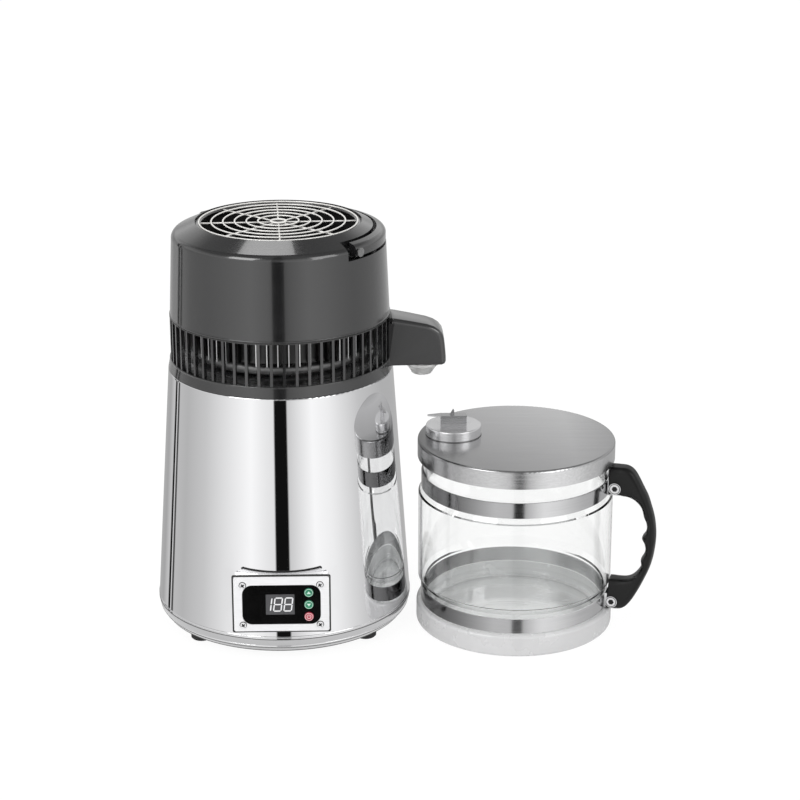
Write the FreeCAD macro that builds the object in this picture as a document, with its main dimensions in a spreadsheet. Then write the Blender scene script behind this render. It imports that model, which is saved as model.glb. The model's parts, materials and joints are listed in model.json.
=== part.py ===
import FreeCAD, Part
import math
import os
import re
import Sketcher

# Glass water distiller: a round steel still with a lift-off fan head, and the glass jug
# that stands under its spout. Millimetres, +Z up, the panel faces -Y, the spout points to +X.
# The still's axis and the floor are the natural datum of the sizes below. datum_x and
# datum_y then move the finished pieces, so that the origin lies under the middle of the set.

V3 = FreeCAD.Vector

doc = FreeCAD.newDocument("GlassWaterDistiller")
sheet = doc.addObject("Spreadsheet::Sheet", "Sizes")

SIZES = (
    ("datum_x", 113.3, "origin, measured from the still's axis to the right"),
    ("datum_y", -1.4, "origin, measured from the still's axis to the back"),
    ("fit_gap", 0.3, "gap between curved faces of neighbouring pieces"),
    ("slide_gap", 0.2, "gap round pieces that travel"),
    ("pin_gap", 0.05, "radial clearance of pins, screws and shafts"),
    # still body
    ("shell_low_radius", 118.0, "steel wall, outside, at its lower edge"),
    ("shell_top_radius", 102.4, "steel wall, outside, at its upper edge"),
    ("shell_low", 21.3, "height of the wall's lower edge"),
    ("shell_top", 244.5, "height of the wall's upper edge"),
    ("shell_wall", 1.0, "sheet of the wall"),
    ("shell_roll", 1.6, "rounding of the wall's upper edge"),
    ("shell_lip", 4.0, "inward lip at the top of the wall"),
    ("skirt_low", 7.0, "underside of the rolled skirt"),
    ("skirt_in", 8.0, "skirt's underside, inward of the wall's lower edge"),
    ("skirt_roll", 17.0, "radius of the skirt's roll"),
    ("skirt_wall", 1.2, "sheet of the skirt"),
    ("skirt_ledge", 9.0, "inward ledge that carries the base plate"),
    ("plate_wall", 2.0, "sheet of the base plate"),
    ("plate_slot_long", 22.0, "length of the base plate's air slots"),
    ("plate_slot_wide", 5.0, "width of the base plate's air slots"),
    ("plate_slots", 12, "number of air slots"),
    ("foot_in", 17.0, "rubber feet, inward of the skirt"),
    ("foot_turn", 40.0, "angle of the first foot from +X"),
    ("foot_radius", 7.0, "rubber foot, at the floor"),
    ("pot_in", 13.4, "boiling pot's inside, inward of the wall's upper edge"),
    ("pot_wall", 1.0, "sheet of the pot"),
    ("pot_floor", 82.0, "inside floor of the pot"),
    ("pot_corner", 12.0, "inside corner of the pot"),
    ("pot_flange", 1.0, "sheet of the pot's flange"),
    ("heater_in", 23.0, "heater disc's edge, inward of the pot's inside"),
    ("heater_disc", 3.0, "thickness of the heater disc"),
    ("heater_edge", 14.0, "middle of the heater's ring, inward of its disc's edge"),
    ("heater_rod", 9.0, "height and width of the heater's ring"),
    ("stud_radius", 4.0, "stud under the pot"),
    ("stud_long", 17.0, "length of the stud under the pot"),
    ("thermostat_radius", 9.0, "thermal cut-out"),
    ("thermostat_tall", 9.0, "height of a thermal cut-out"),
    ("thermostat_offset", 26.0, "thermal cut-outs, from the pot's axis"),
    # control panel
    ("panel_mid", 57.6, "height of the bezel's middle"),
    ("panel_wide", 85.0, "bezel, width"),
    ("panel_tall", 52.5, "bezel, height"),
    ("panel_proud", 4.537, "bezel's face, in front of the wall at its middle"),
    ("panel_wall", 1.5, "sheet of the bezel"),
    ("window_drop", 0.8, "window's middle, below the bezel's"),
    ("window_side", 15.0, "bezel's width beyond the window"),
    ("window_edge", 14.5, "bezel's height beyond the window"),
    ("window_corner", 9.0, "corner radius of the window"),
    ("window_thick", 2.0, "thickness of the window"),
    ("window_rim", 3.0, "rim of the window behind the bezel"),
    ("display_x", -1.2, "display, sideways from the panel's middle"),
    ("display_wide", 26.0, "display, width"),
    ("display_tall", 20.0, "display, height"),
    ("button_in", 10.6, "buttons, inward of the window's side"),
    ("button_pitch", 11.6, "buttons, step down the panel"),
    ("button_radius", 4.1, "button cap"),
    ("button_proud", 1.2, "button cap, in front of the window"),
    ("button_collar", 1.2, "collar behind the window, beyond the cap"),
    ("button_travel", 0.8, "travel of a button"),
    ("screw_in", 8.1, "panel screws, inward of the bezel's sides"),
    ("screw_down", 7.05, "panel screws, inward of the bezel's top and foot"),
    ("screw_radius", 1.3, "panel screw, shank"),
    ("screw_head", 2.6, "panel screw, head radius"),
    ("screw_long", 9.0, "panel screw, shank length"),
    ("tray_deep", 21.0, "depth of the control tray"),
    ("tray_wall", 1.8, "wall of the control tray"),
    ("tray_boss", 6.5, "side of the tray's corner bosses"),
    ("board_thick", 1.6, "circuit board"),
    ("board_back", 15.5, "circuit board's face, behind the bezel's face"),
    # power inlet
    ("inlet_mid", 46.0, "height of the power inlet's middle"),
    ("inlet_wide", 27.0, "power inlet, width"),
    ("inlet_tall", 20.0, "power inlet, height"),
    ("inlet_deep", 24.0, "power inlet, depth"),
    ("inlet_flange", 6.0, "power inlet, flange beyond the body on each side"),
    ("inlet_wall", 1.8, "power inlet, wall"),
    ("inlet_pin", 9.0, "power inlet, length of the blades"),
    # vent ring and head
    ("rim_tall", 9.4, "height of the head's lower rim"),
    ("rim_in", 1.9, "head's lower rim at its top, inward of its foot"),
    ("vent_in_step", 0.7, "vent ring, inward of the rim"),
    ("vent_wall", 3.6, "depth of the slats"),
    ("vent_count", 56, "number of slats"),
    ("vent_slot", 8.7, "clear width between slats"),
    ("vent_tall", 40.3, "height of the vent ring between rim and hood"),
    ("collar_tall", 8.0, "collar of the vent ring inside the hood"),
    ("hood_in", 0.2, "hood, inward of the vent ring"),
    ("draft", 0.06, "inward lean of the hood's wall, per millimetre of height"),
    ("shoulder_tall", 13.4, "height of the hood's shoulder"),
    ("hood_lean", 3.3, "inward lean of the hood's wall"),
    ("cover_round", 7.0, "rounding between wall and shoulder"),
    ("cover_tall", 85.2, "height of the hood"),
    ("cover_wall", 2.5, "wall of the hood"),
    ("shoulder_wide", 21.8, "width of the hood's shoulder"),
    ("grille_tall", 4.0, "fan grille, height of its frame"),
    ("grille_frame_wide", 5.3, "fan grille, width of its frame"),
    ("grille_pitch", 10.45, "step from ring to ring"),
    ("grille_hub", 7.2, "hub ring"),
    ("grille_wire", 1.9, "thickness of a wire"),
    ("grille_turn", 2.5, "turn of the spokes"),
    ("ledge_wide", 4.5, "hood's ledge under the grille, width"),
    ("ledge_wall", 2.4, "thickness of the ledge"),
    # carrying handle
    ("bail_turn", 48.4, "direction of the folded handle's middle, from +X"),
    ("bail_wide", 8.2, "carrying handle, width"),
    ("bail_in", 0.1, "carrying handle, inward of the hood's wall"),
    ("bail_under", 16.9, "carrying handle's underside, below the top of the head"),
    ("bail_tall", 11.5, "carrying handle, height when folded"),
    ("pivot_up", 3.5, "handle's pivots, above its underside"),
    ("bail_end", 4.5, "handle beyond its pivots"),
    ("recess_wide", 3.3, "handle's recess, inward of the handle"),
    ("recess_gap", 2.5, "handle's recess, below the handle"),
    ("recess_over", 8.2, "recess beyond the pivots, degrees"),
    ("pivot_radius", 2.5, "pivot screw, shank"),
    ("pivot_head", 4.0, "pivot screw, head radius"),
    ("pivot_head_tall", 1.4, "pivot screw, height of its head"),
    # fan
    ("fan_in", 8.5, "bore of the fan's frame, inward of the grille"),
    ("fan_wall", 2.0, "wall of the fan's frame"),
    ("fan_tall", 26.0, "height of the fan's duct"),
    ("fan_under", 15.4, "top of the fan's duct, below the top of the head"),
    ("fan_tip_gap", 1.5, "gap between blade tips and the frame"),
    ("fan_blades", 7, "number of blades"),
    ("fan_hub", 20.0, "hub of the rotor"),
    ("motor_radius", 17.0, "fan motor"),
    ("motor_tall", 14.0, "fan motor, height"),
    ("shaft_radius", 2.5, "fan shaft"),
    # condenser
    ("coil_in", 23.8, "condenser coil, inward of the vent ring"),
    ("coil_tube", 4.6, "condenser tube, outer radius"),
    ("coil_under", 8.2, "coil's first turn, below the hood's edge"),
    ("coil_fall", 23.7, "fall of the coil from its first turn to its outlet"),
    ("coil_turns", 2, "whole turns of the coil"),
    ("fin_count", 60, "number of fins"),
    ("fin_thick", 0.8, "fin sheet"),
    ("fin_in", 7.8, "fins, inward of the vent ring"),
    ("fin_tall", 21.0, "height of the fins"),
    ("fin_under", 3.2, "top of the fins, below the hood's edge"),
    # dome and seal
    ("dome_lift", 4.5, "dome's rim, above the steel wall"),
    ("dome_in", 4.4, "dome's rim, inward of the vent ring"),
    ("dome_wall", 1.0, "sheet of the dome"),
    ("dome_ledge", 2.4, "width of the dome's rim"),
    ("dome_side_tall", 5.5, "height of the dome's upright side"),
    ("dome_rise", 6.0, "rise of the dome to its steam outlet"),
    ("seal_wall", 2.4, "width of the dome's seal"),
    # spout and nozzle
    ("spout_wide", 36.0, "spout, width"),
    ("spout_wall", 2.0, "wall of the spout"),
    ("spout_lift", 1.5, "underside of the spout, above the steel wall"),
    ("spout_tall", 45.0, "height of the spout at its root"),
    ("spout_brow_in", 13.5, "where the spout's top turns down, short of its tip"),
    ("spout_fall", 5.0, "fall of the spout's top to its brow"),
    ("spout_nose_in", 3.5, "spout's nose, short of its tip"),
    ("spout_nose_down", 9.0, "spout's nose, below its brow"),
    ("spout_reach", 50.7, "reach of the spout from the vent ring"),
    ("spout_round", 10.0, "roundness of the spout's brow"),
    ("spout_corner", 4.0, "spout's lower corner"),
    ("nozzle_in", 21.5, "outlet, short of the spout's tip"),
    ("nozzle_flange", 16.4, "nozzle's flange"),
    ("nozzle_neck", 13.0, "nozzle's neck inside the spout"),
    ("nozzle_tall", 11.5, "nozzle, below the spout"),
    ("nozzle_tip", 8.0, "nozzle at its lower end"),
    ("nozzle_bore", 4.0, "nozzle's bore"),
    # jug
    ("jug_apart", 5.8, "jug's foot to the still, along X"),
    ("jug_y", -23.6, "jug's axis, behind the still's"),
    ("glass_radius", 89.7, "glass, outside"),
    ("neck_in_step", 4.2, "glass under the hoops, inward of its wide part"),
    ("glass_wall", 3.2, "glass, thickness"),
    ("glass_lift", 0.4, "bond between the glass and its foot"),
    ("glass_top", 172.0, "rim of the glass"),
    ("glass_foot_tall", 24.5, "glass between its foot and its wide part"),
    ("glass_neck_tall", 45.0, "glass above its wide part"),
    ("glass_slope", 6.0, "height of the glass's shoulders"),
    ("foot_out", 1.6, "pale foot of the jug, beyond the glass"),
    ("jug_base_top", 20.5, "top of the jug's foot"),
    ("jug_base_floor", 5.0, "floor of the jug's foot"),
    ("hoop_wall", 1.3, "sheet of the hoops"),
    ("hoop_lift", 1.2, "lower hoop, above the jug's foot"),
    ("hoop_low_tall", 13.5, "lower hoop, height"),
    ("hoop_high_tall", 14.3, "upper hoop, height"),
    ("grip_turn", -15.6, "direction of the jug's handle, from +X"),
    ("grip_thick", 18.0, "jug's handle, side to side"),
    ("grip_arm", 12.0, "jug's handle, side to side between the ears"),
    ("ear_wall", 1.3, "hoop's ears"),
    ("ear_over", 6.0, "hoop's ears, beyond the bolts"),
    ("bolt_reach", 8.0, "handle bolts, outward of the glass's neck"),
    ("bolt_radius", 2.5, "handle bolts, shank"),
    ("bolt_head", 5.5, "handle bolts, head radius"),
    ("bolt_head_tall", 2.4, "handle bolts, height of the head"),
    # jug lid and its cap
    ("lid_out", 0.9, "jug's lid, beyond the glass"),
    ("lid_above", 6.8, "top of the jug's lid, above the glass's rim"),
    ("lid_tall", 16.8, "height of the jug's lid"),
    ("lid_wall", 1.0, "sheet of the jug's lid"),
    ("lid_round", 2.2, "rounded edge of the jug's lid"),
    ("cap_edge", 6.8, "lid's cap, inward of the lid's edge"),
    ("cap_turn", 168.8, "direction of the lid's cap, from +X"),
    ("cap_radius", 25.5, "lid's cap"),
    ("cap_tall", 9.5, "lid's cap, above the lid"),
    ("cap_rim", 4.5, "rim of the lid's cap round its plug"),
    ("cap_plug_tall", 9.0, "length of the cap's plug"),
    ("cap_wall", 1.2, "sheet of the cap"),
    ("tab_wide", 24.0, "cap's grip, width"),
    ("tab_tall", 9.2, "cap's grip, height"),
    ("tab_wall", 1.3, "cap's grip, sheet"),
    ("tab_point", 12.0, "pointed end of the grip's top"),
    ("tab_deep", 9.0, "depth of the grip's top"),
)

# Sizes that follow from those above, so that pieces which belong together move together.
TIED = (
    ("skirt_low_radius", "shell_low_radius - skirt_in", "skirt, outside, at its underside"),
    ("foot_circle", "skirt_low_radius - foot_in", "circle of the rubber feet"),
    ("pot_radius", "shell_top_radius - pot_in", "boiling pot, inside"),
    ("heater_radius", "pot_radius - heater_in", "heater disc"),
    ("heater_ring", "heater_radius - heater_edge", "middle of the heater's ring"),
    ("plate_slot_circle", "skirt_low_radius*0.6", "radius on which the air slots start"),
    ("shell_lean", "(shell_low_radius - shell_top_radius) / (shell_top - shell_low)", "taper of the wall"),
    (
        "panel_front",
        "shell_low_radius - shell_lean*(panel_mid - shell_low) + panel_proud",
        "bezel's face, from the still's axis",
    ),
    ("window_mid", "panel_mid - window_drop", "height of the window's middle"),
    ("window_wide", "panel_wide - window_side", "window, width"),
    ("window_tall", "panel_tall - window_edge", "window, height"),
    ("button_x", "window_wide/2 - button_in", "buttons, sideways from the panel's middle"),
    ("screw_x", "panel_wide/2 - screw_in", "panel screws, sideways from the panel's middle"),
    ("screw_z", "panel_tall/2 - screw_down", "panel screws, up and down from the window's middle"),
    ("rim_top", "shell_top + rim_tall", "top of the head's lower rim"),
    ("rim_top_radius", "shell_top_radius - rim_in", "head's lower rim, outside, at its top"),
    ("vent_radius", "rim_top_radius - vent_in_step", "vent ring, outside"),
    ("cover_low", "rim_top + vent_tall", "lower edge of the hood"),
    ("cover_low_radius", "vent_radius - hood_in", "hood, outside, at its lower edge"),
    ("cover_high_radius", "cover_low_radius - hood_lean", "hood, outside, at the top of its wall"),
    ("cover_top", "cover_low + cover_tall", "top of the head"),
    ("cover_high", "cover_top - shoulder_tall", "top of the hood's upright wall"),
    ("grille_radius", "cover_high_radius - shoulder_wide", "fan grille, outside"),
    ("grille_inner", "grille_radius - grille_frame_wide", "fan grille, inside of its frame"),
    ("ledge_inner", "grille_radius - ledge_wide", "hood's ledge under the grille, inside"),
    ("grille_first", "grille_inner - 4.87081*grille_pitch", "radius of the smallest wire ring"),
    ("bail_outer", "cover_high_radius - bail_in", "carrying handle, outside"),
    ("bail_inner", "bail_outer - bail_wide", "carrying handle, inside"),
    ("bail_low", "cover_top - bail_under", "carrying handle, underside when folded"),
    ("bail_pivot", "bail_low + pivot_up", "height of the handle's pivots"),
    ("recess_inner", "bail_inner - recess_wide", "inner wall of the handle's recess"),
    ("recess_low", "bail_low - recess_gap", "floor of the handle's recess"),
    ("fan_bore", "grille_radius - fan_in", "bore of the fan's frame"),
    ("fan_top", "cover_top - fan_under", "top of the fan's frame duct"),
    ("fan_low", "fan_top - fan_tall", "underside of the fan's frame"),
    ("dome_rim", "shell_top + dome_lift", "underside of the dome's rim"),
    ("dome_radius", "vent_radius - dome_in", "dome's rim, outside"),
    ("dome_side", "dome_radius - dome_ledge", "dome's upright side, outside"),
    ("dome_shoulder", "dome_rim + dome_side_tall", "top of the dome's upright side"),
    ("dome_top", "dome_shoulder + dome_rise", "dome, height at its steam outlet"),
    ("coil_radius", "vent_radius - coil_in", "condenser coil, middle of the tube"),
    ("coil_top", "cover_low - coil_under", "height of the coil's first turn"),
    ("coil_low", "coil_top - coil_fall", "height of the coil's outlet"),
    ("fin_radius", "vent_radius - fin_in", "fins, outside"),
    ("fin_top", "cover_low - fin_under", "top of the fins"),
    ("fin_low", "fin_top - fin_tall", "underside of the fins"),
    ("spout_low", "shell_top + spout_lift", "underside of the spout"),
    ("spout_root_top", "spout_low + spout_tall", "top of the spout at its root"),
    ("spout_brow", "spout_root_top - spout_fall", "height of the spout there"),
    ("spout_nose", "spout_brow - spout_nose_down", "height of the spout's nose"),
    ("spout_tip_x", "vent_radius + spout_reach", "spout's furthest reach"),
    ("spout_nose_x", "spout_tip_x - spout_nose_in", "spout's nose, below its brow"),
    ("spout_brow_x", "spout_tip_x - spout_brow_in", "where the spout's top turns down"),
    ("nozzle_x", "spout_tip_x - nozzle_in", "outlet, from the still's axis"),
    ("nozzle_low", "spout_low - nozzle_tall", "lower end of the nozzle"),
    ("neck_radius", "glass_radius - neck_in_step", "glass, outside, under the hoops"),
    ("jug_base_radius", "glass_radius + foot_out", "pale foot of the jug"),
    ("lid_radius", "glass_radius + lid_out", "jug's lid, outside"),
    (
        "jug_x",
        "shell_low_radius + jug_base_radius + jug_apart",
        "jug's axis, to the right of the still's",
    ),
    ("glass_low", "jug_base_floor + glass_lift", "underside of the glass"),
    ("glass_belly_top", "glass_top - glass_neck_tall", "upper end of the glass's wide part"),
    ("glass_belly_low", "jug_base_top + glass_foot_tall", "lower end of the glass's wide part"),
    ("hoop_low", "jug_base_top + hoop_lift", "lower hoop, underside"),
    ("hoop_high", "glass_belly_top + glass_slope", "upper hoop, underside"),
    ("bolt_out", "neck_radius + bolt_reach", "handle bolts, from the jug's axis"),
    ("ear_reach", "bolt_out + ear_over", "hoop's ears, outer end from the jug's axis"),
    ("lid_top", "glass_top + lid_above", "top of the jug's lid"),
    ("lid_low", "lid_top - lid_tall", "lower edge of the jug's lid"),
    ("cap_offset", "lid_radius - cap_radius - cap_edge", "lid's cap, from the jug's axis"),
    ("cap_plug", "cap_radius - cap_rim", "cap's plug in the lid's hole"),
)

for row, (alias, number, meaning) in enumerate(SIZES, 1):
    sheet.set(f"A{row}", meaning)
    sheet.set(f"B{row}", str(number))
    sheet.setAlias(f"B{row}", alias)
doc.recompute()

WORDS = re.compile(r"\b(" + "|".join(alias for alias, _, _ in SIZES) + r")\b")
RULES = {name: f"({rule})" for name, rule, _ in TIED}
TIED_WORDS = re.compile(r"\b(" + "|".join(RULES) + r")\b")


def linked(rule):
    """The rule in plain sizes, each one's name pointed at the sheet."""
    rule = str(rule)
    while TIED_WORDS.search(rule):
        rule = TIED_WORDS.sub(lambda found: RULES[found.group()], rule)
    return WORDS.sub(r"Sizes.\1", rule)


def size(rule):
    """The rule's number."""
    found = sheet.evalExpression(linked(rule).replace("Sizes.", ""))
    return float(getattr(found, "Value", found))


def bind(thing, path, rule):
    thing.setExpression(path, linked(rule))


def body(label, x="0", y="0", z="0", turn=None):
    """A new piece, placed from the datum."""
    made = doc.addObject("PartDesign::Body", label)
    made.Label = label
    place(made, x, y, z, turn)
    return made


def place(thing, x="0", y="0", z="0", turn=None):
    bind(thing, "Placement.Base.x", f"({x}) - datum_x")
    bind(thing, "Placement.Base.y", f"({y}) - datum_y")
    bind(thing, "Placement.Base.z", f"{z}")
    if turn is not None:
        thing.Placement = FreeCAD.Placement(V3(), FreeCAD.Rotation(V3(0, 0, 1), size(turn)))
        bind(thing, "Placement.Rotation.Angle", turn)


def sketch(owner, name, plane="XZ_Plane", away=None, turn=None):
    """A sketch on one of the piece's own planes. XZ: sketch up is +Z and its normal -Y."""
    drawn = owner.newObject("Sketcher::SketchObject", name)
    base = next(f for f in owner.Origin.OriginFeatures if f.Role == plane)
    drawn.AttachmentSupport = (base, [""])
    drawn.MapMode = "FlatFace"
    if turn is not None:
        spin = FreeCAD.Rotation(V3(0, 1, 0) if plane == "XZ_Plane" else V3(0, 0, 1), size(turn))
        drawn.AttachmentOffset = FreeCAD.Placement(V3(), spin)
        bind(drawn, "AttachmentOffset.Rotation.Angle", turn)
    if away is not None:
        bind(drawn, "AttachmentOffset.Base.z", away)
    return drawn


def pin_down(drawn, edge, end, x, y):
    """Ties one end of an edge to its place on the sketch."""
    for kind, rule in (("DistanceX", x), ("DistanceY", y)):
        number = size(rule)
        where = drawn.addConstraint(Sketcher.Constraint(kind, edge, end, number))
        bind(drawn, f"Constraints[{where}]", rule)


def loop(drawn, *corners):
    """A closed outline. A corner is (x, y), or (x, y, radius) where an arc runs to the next
    corner: it bulges to the right of the way round for a positive side, (x, y, radius, -1)
    bulges to the left."""
    spots = [V3(size(c[0]), size(c[1]), 0) for c in corners]
    first = drawn.GeometryCount
    ends = []
    for k, corner in enumerate(corners):
        a, b = spots[k], spots[(k + 1) % len(spots)]
        if len(corner) == 2:
            drawn.addGeometry(Part.LineSegment(a, b))
            ends.append((1, 2))
            continue
        side = corner[3] if len(corner) > 3 else 1
        radius = size(corner[2])
        half = (b - a) * 0.5
        left = V3(-half.y, half.x, 0).normalize() * side
        rise = math.sqrt(max(radius**2 - half.Length**2, 0.0))
        middle = a + half + left * rise
        start, stop = (a, b) if side > 0 else (b, a)
        low = math.atan2(start.y - middle.y, start.x - middle.x)
        high = math.atan2(stop.y - middle.y, stop.x - middle.x)
        circle = Part.Circle(middle, V3(0, 0, 1), radius)
        drawn.addGeometry(Part.ArcOfCircle(circle, low, high if high > low else high + 2 * math.pi))
        ends.append((1, 2) if side > 0 else (2, 1))
    for k, corner in enumerate(corners):
        after = (k + 1) % len(corners)
        drawn.addConstraint(
            Sketcher.Constraint("Coincident", first + k, ends[k][1], first + after, ends[after][0])
        )
    for k, corner in enumerate(corners):
        pin_down(drawn, first + k, ends[k][0], corner[0], corner[1])
        if len(corner) > 2:
            where = drawn.addConstraint(Sketcher.Constraint("Radius", first + k, size(corner[2])))
            bind(drawn, f"Constraints[{where}]", corner[2])
    return drawn


def ring_line(drawn, x, y, radius):
    """A full circle."""
    edge = drawn.addGeometry(Part.Circle(V3(size(x), size(y), 0), V3(0, 0, 1), size(radius)))
    pin_down(drawn, edge, 3, x, y)
    where = drawn.addConstraint(Sketcher.Constraint("Radius", edge, size(radius)))
    bind(drawn, f"Constraints[{where}]", radius)
    return drawn


def box_line(drawn, x0, y0, x1, y1):
    """An upright rectangle."""
    return loop(drawn, (x0, y0), (x1, y0), (x1, y1), (x0, y1))


def soft_box_line(drawn, x, y, wide, tall, corner):
    """A rectangle about (x, y) with rounded corners."""
    w, h, r = f"({wide})/2", f"({tall})/2", f"({corner})"
    return loop(
        drawn,
        (f"{x}+{w}-{r}", f"{y}-{h}", r),
        (f"{x}+{w}", f"{y}-{h}+{r}"),
        (f"{x}+{w}", f"{y}+{h}-{r}", r),
        (f"{x}+{w}-{r}", f"{y}+{h}"),
        (f"{x}-{w}+{r}", f"{y}+{h}", r),
        (f"{x}-{w}", f"{y}+{h}-{r}"),
        (f"{x}-{w}", f"{y}-{h}+{r}", r),
        (f"{x}-{w}+{r}", f"{y}-{h}"),
    )


def turned(owner, drawn, name="Turned", angle=None, cut=False):
    """Revolves a sketch about the piece's upright axis, evenly about the sketch's plane."""
    made = owner.newObject("PartDesign::Groove" if cut else "PartDesign::Revolution", name)
    made.Profile = drawn
    made.ReferenceAxis = (drawn, ["V_Axis"])
    if angle is None:
        made.Angle = 360
    else:
        made.Midplane = True
        bind(made, "Angle", angle)
    return made


def raised(owner, drawn, name, length, both=False, back=False):
    made = owner.newObject("PartDesign::Pad", name)
    made.Profile = drawn
    bind(made, "Length", length)
    made.SideType = "Symmetric" if both else "One side"
    made.Reversed = back
    return made


def cut(owner, drawn, name, length=None, both=False, back=False):
    """Cuts against the sketch's normal, or along it with back set."""
    made = owner.newObject("PartDesign::Pocket", name)
    made.Profile = drawn
    if length is None:
        made.Type = "ThroughAll"
    else:
        bind(made, "Length", length)
    made.SideType = "Symmetric" if both else "One side"
    made.Reversed = back
    return made


def repeated(owner, features, name, count, plane="XY_Plane"):
    """Repeats features round the piece's upright axis."""
    made = owner.newObject("PartDesign::PolarPattern", name)
    made.Originals = features
    made.Axis = (next(f for f in owner.Origin.OriginFeatures if f.Role == "Z_Axis"), [""])
    made.Angle = 360
    bind(made, "Occurrences", count)
    owner.Tip = made
    return made


def rounded(owner, base, name, radius, chosen):
    """Fillets the edges of base that the rule chosen picks."""
    doc.recompute()
    names = [f"Edge{n}" for n, e in enumerate(base.Shape.Edges, 1) if chosen(e)]
    made = owner.newObject("PartDesign::Fillet", name)
    made.Base = (base, names)
    bind(made, "Radius", radius)
    return made


def lathe(label, *corners, **where):
    """A piece that is one revolved outline of (radius, height) corners."""
    made = body(label, **where)
    turned(made, loop(sketch(made, label + "_outline"), *corners))
    return made


# Still body. The tapered wall carries the panel's cut-out and the inlet's.
taper = "((shell_low_radius - shell_top_radius) / (shell_top - shell_low))"
shell = body("outer_shell")
turned(
    shell,
    loop(
        sketch(shell, "wall_outline"),
        ("shell_low_radius", "shell_low"),
        (f"shell_top_radius + {taper}*shell_roll", "shell_top - shell_roll", "shell_roll"),
        ("shell_top_radius - shell_wall", "shell_top - 0.08*shell_roll"),
        (f"shell_top_radius - shell_wall + {taper}*(pot_flange + 0.2)", "shell_top - pot_flange - 0.2"),
        ("shell_top_radius - shell_wall - shell_lip", "shell_top - pot_flange - 0.2"),
        ("shell_top_radius - shell_wall - shell_lip", "shell_top - pot_flange - 0.2 - shell_wall"),
        (
            f"shell_top_radius - shell_wall + {taper}*(pot_flange + 0.2 + shell_wall)",
            "shell_top - pot_flange - 0.2 - shell_wall",
        ),
        ("shell_low_radius - shell_wall", "shell_low"),
    ),
    "wall",
)
opening = sketch(shell, "panel_opening")
soft_box_line(
    opening, "0", "window_mid", "window_wide + 2*window_rim + 2*slide_gap + 1",
    "window_tall + 2*window_rim + 2*slide_gap + 1", "4",
)
cut(shell, opening, "panel_cut", back=True)
opening = sketch(shell, "inlet_opening")
box_line(
    opening, "-inlet_wide/2 - fit_gap", "inlet_mid - inlet_tall/2 - fit_gap",
    "inlet_wide/2 + fit_gap", "inlet_mid + inlet_tall/2 + fit_gap",
)
cut(shell, opening, "inlet_cut")

# The skirt rolls in under the wall and turns inward as a ledge for the base plate.
skirt = body("base_skirt")
turned(
    skirt,
    loop(
        sketch(skirt, "roll_outline"),
        ("skirt_low_radius - skirt_ledge", "skirt_low"),
        ("skirt_low_radius", "skirt_low", "skirt_roll"),
        ("shell_low_radius", "shell_low"),
        ("shell_low_radius - skirt_wall", "shell_low", "skirt_roll - skirt_wall", -1),
        ("skirt_low_radius - 0.6*skirt_wall", "skirt_low + skirt_wall"),
        ("skirt_low_radius - skirt_ledge", "skirt_low + skirt_wall"),
    ),
)
turned(
    skirt,
    box_line(
        sketch(skirt, "tongue_outline"),
        "shell_low_radius - shell_wall - 2*skirt_wall", "shell_low - 1.5",
        "shell_low_radius - shell_wall - skirt_wall/2 - fit_gap", "shell_low + 4",
    ),
    "tongue",
)

plate = body("base_plate")
turned(
    plate,
    box_line(
        sketch(plate, "disc_outline"), "0", "skirt_low + skirt_wall",
        "skirt_low_radius - 2*skirt_wall - fit_gap", "skirt_low + skirt_wall + plate_wall",
    ),
    "disc",
)
slot = sketch(plate, "slot_outline", "XY_Plane")
soft_box_line(
    slot, "plate_slot_circle - plate_slot_long/2", "0", "plate_slot_long", "plate_slot_wide",
    "plate_slot_wide/2 - 0.05",
)
repeated(plate, [cut(plate, slot, "slot", back=True)], "slots", "plate_slots")

# Each foot is a rubber stud under the plate, just inside the skirt's ledge.
feet = doc.addObject("Part::MultiFuse", "feet")
feet.Label = "feet"
pads = []
for k in range(4):
    pad = doc.addObject("Part::Cone", f"foot_{k + 1}")
    bind(pad, "Radius1", "foot_radius")
    bind(pad, "Radius2", "foot_radius + 1")
    bind(pad, "Height", "skirt_low + skirt_wall")
    turn = ("foot_turn", "180 - foot_turn", "180 + foot_turn", "-foot_turn")[k]
    bind(pad, "Placement.Base.x", f"foot_circle*cos({turn})")
    bind(pad, "Placement.Base.y", f"foot_circle*sin({turn})")
    pads.append(pad)
feet.Shapes = pads
place(feet)

# The boiling pot hangs by its flange from the lip of the wall.
pot_out = "(pot_radius + pot_wall)"
lathe(
    "boil_pot",
    ("0", "pot_floor - pot_wall"),
    ("pot_radius - pot_corner", "pot_floor - pot_wall", "pot_corner + pot_wall"),
    (pot_out, "pot_floor + pot_corner"),
    (pot_out, "shell_top - 0.2 - pot_flange"),
    ("shell_top_radius - shell_wall - fit_gap", "shell_top - 0.2 - pot_flange"),
    ("shell_top_radius - shell_wall - fit_gap", "shell_top - 0.2"),
    ("pot_radius", "shell_top - 0.2"),
    ("pot_radius", "pot_floor + pot_corner", "pot_corner", -1),
    ("pot_radius - pot_corner", "pot_floor"),
    ("0", "pot_floor"),
)

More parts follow.
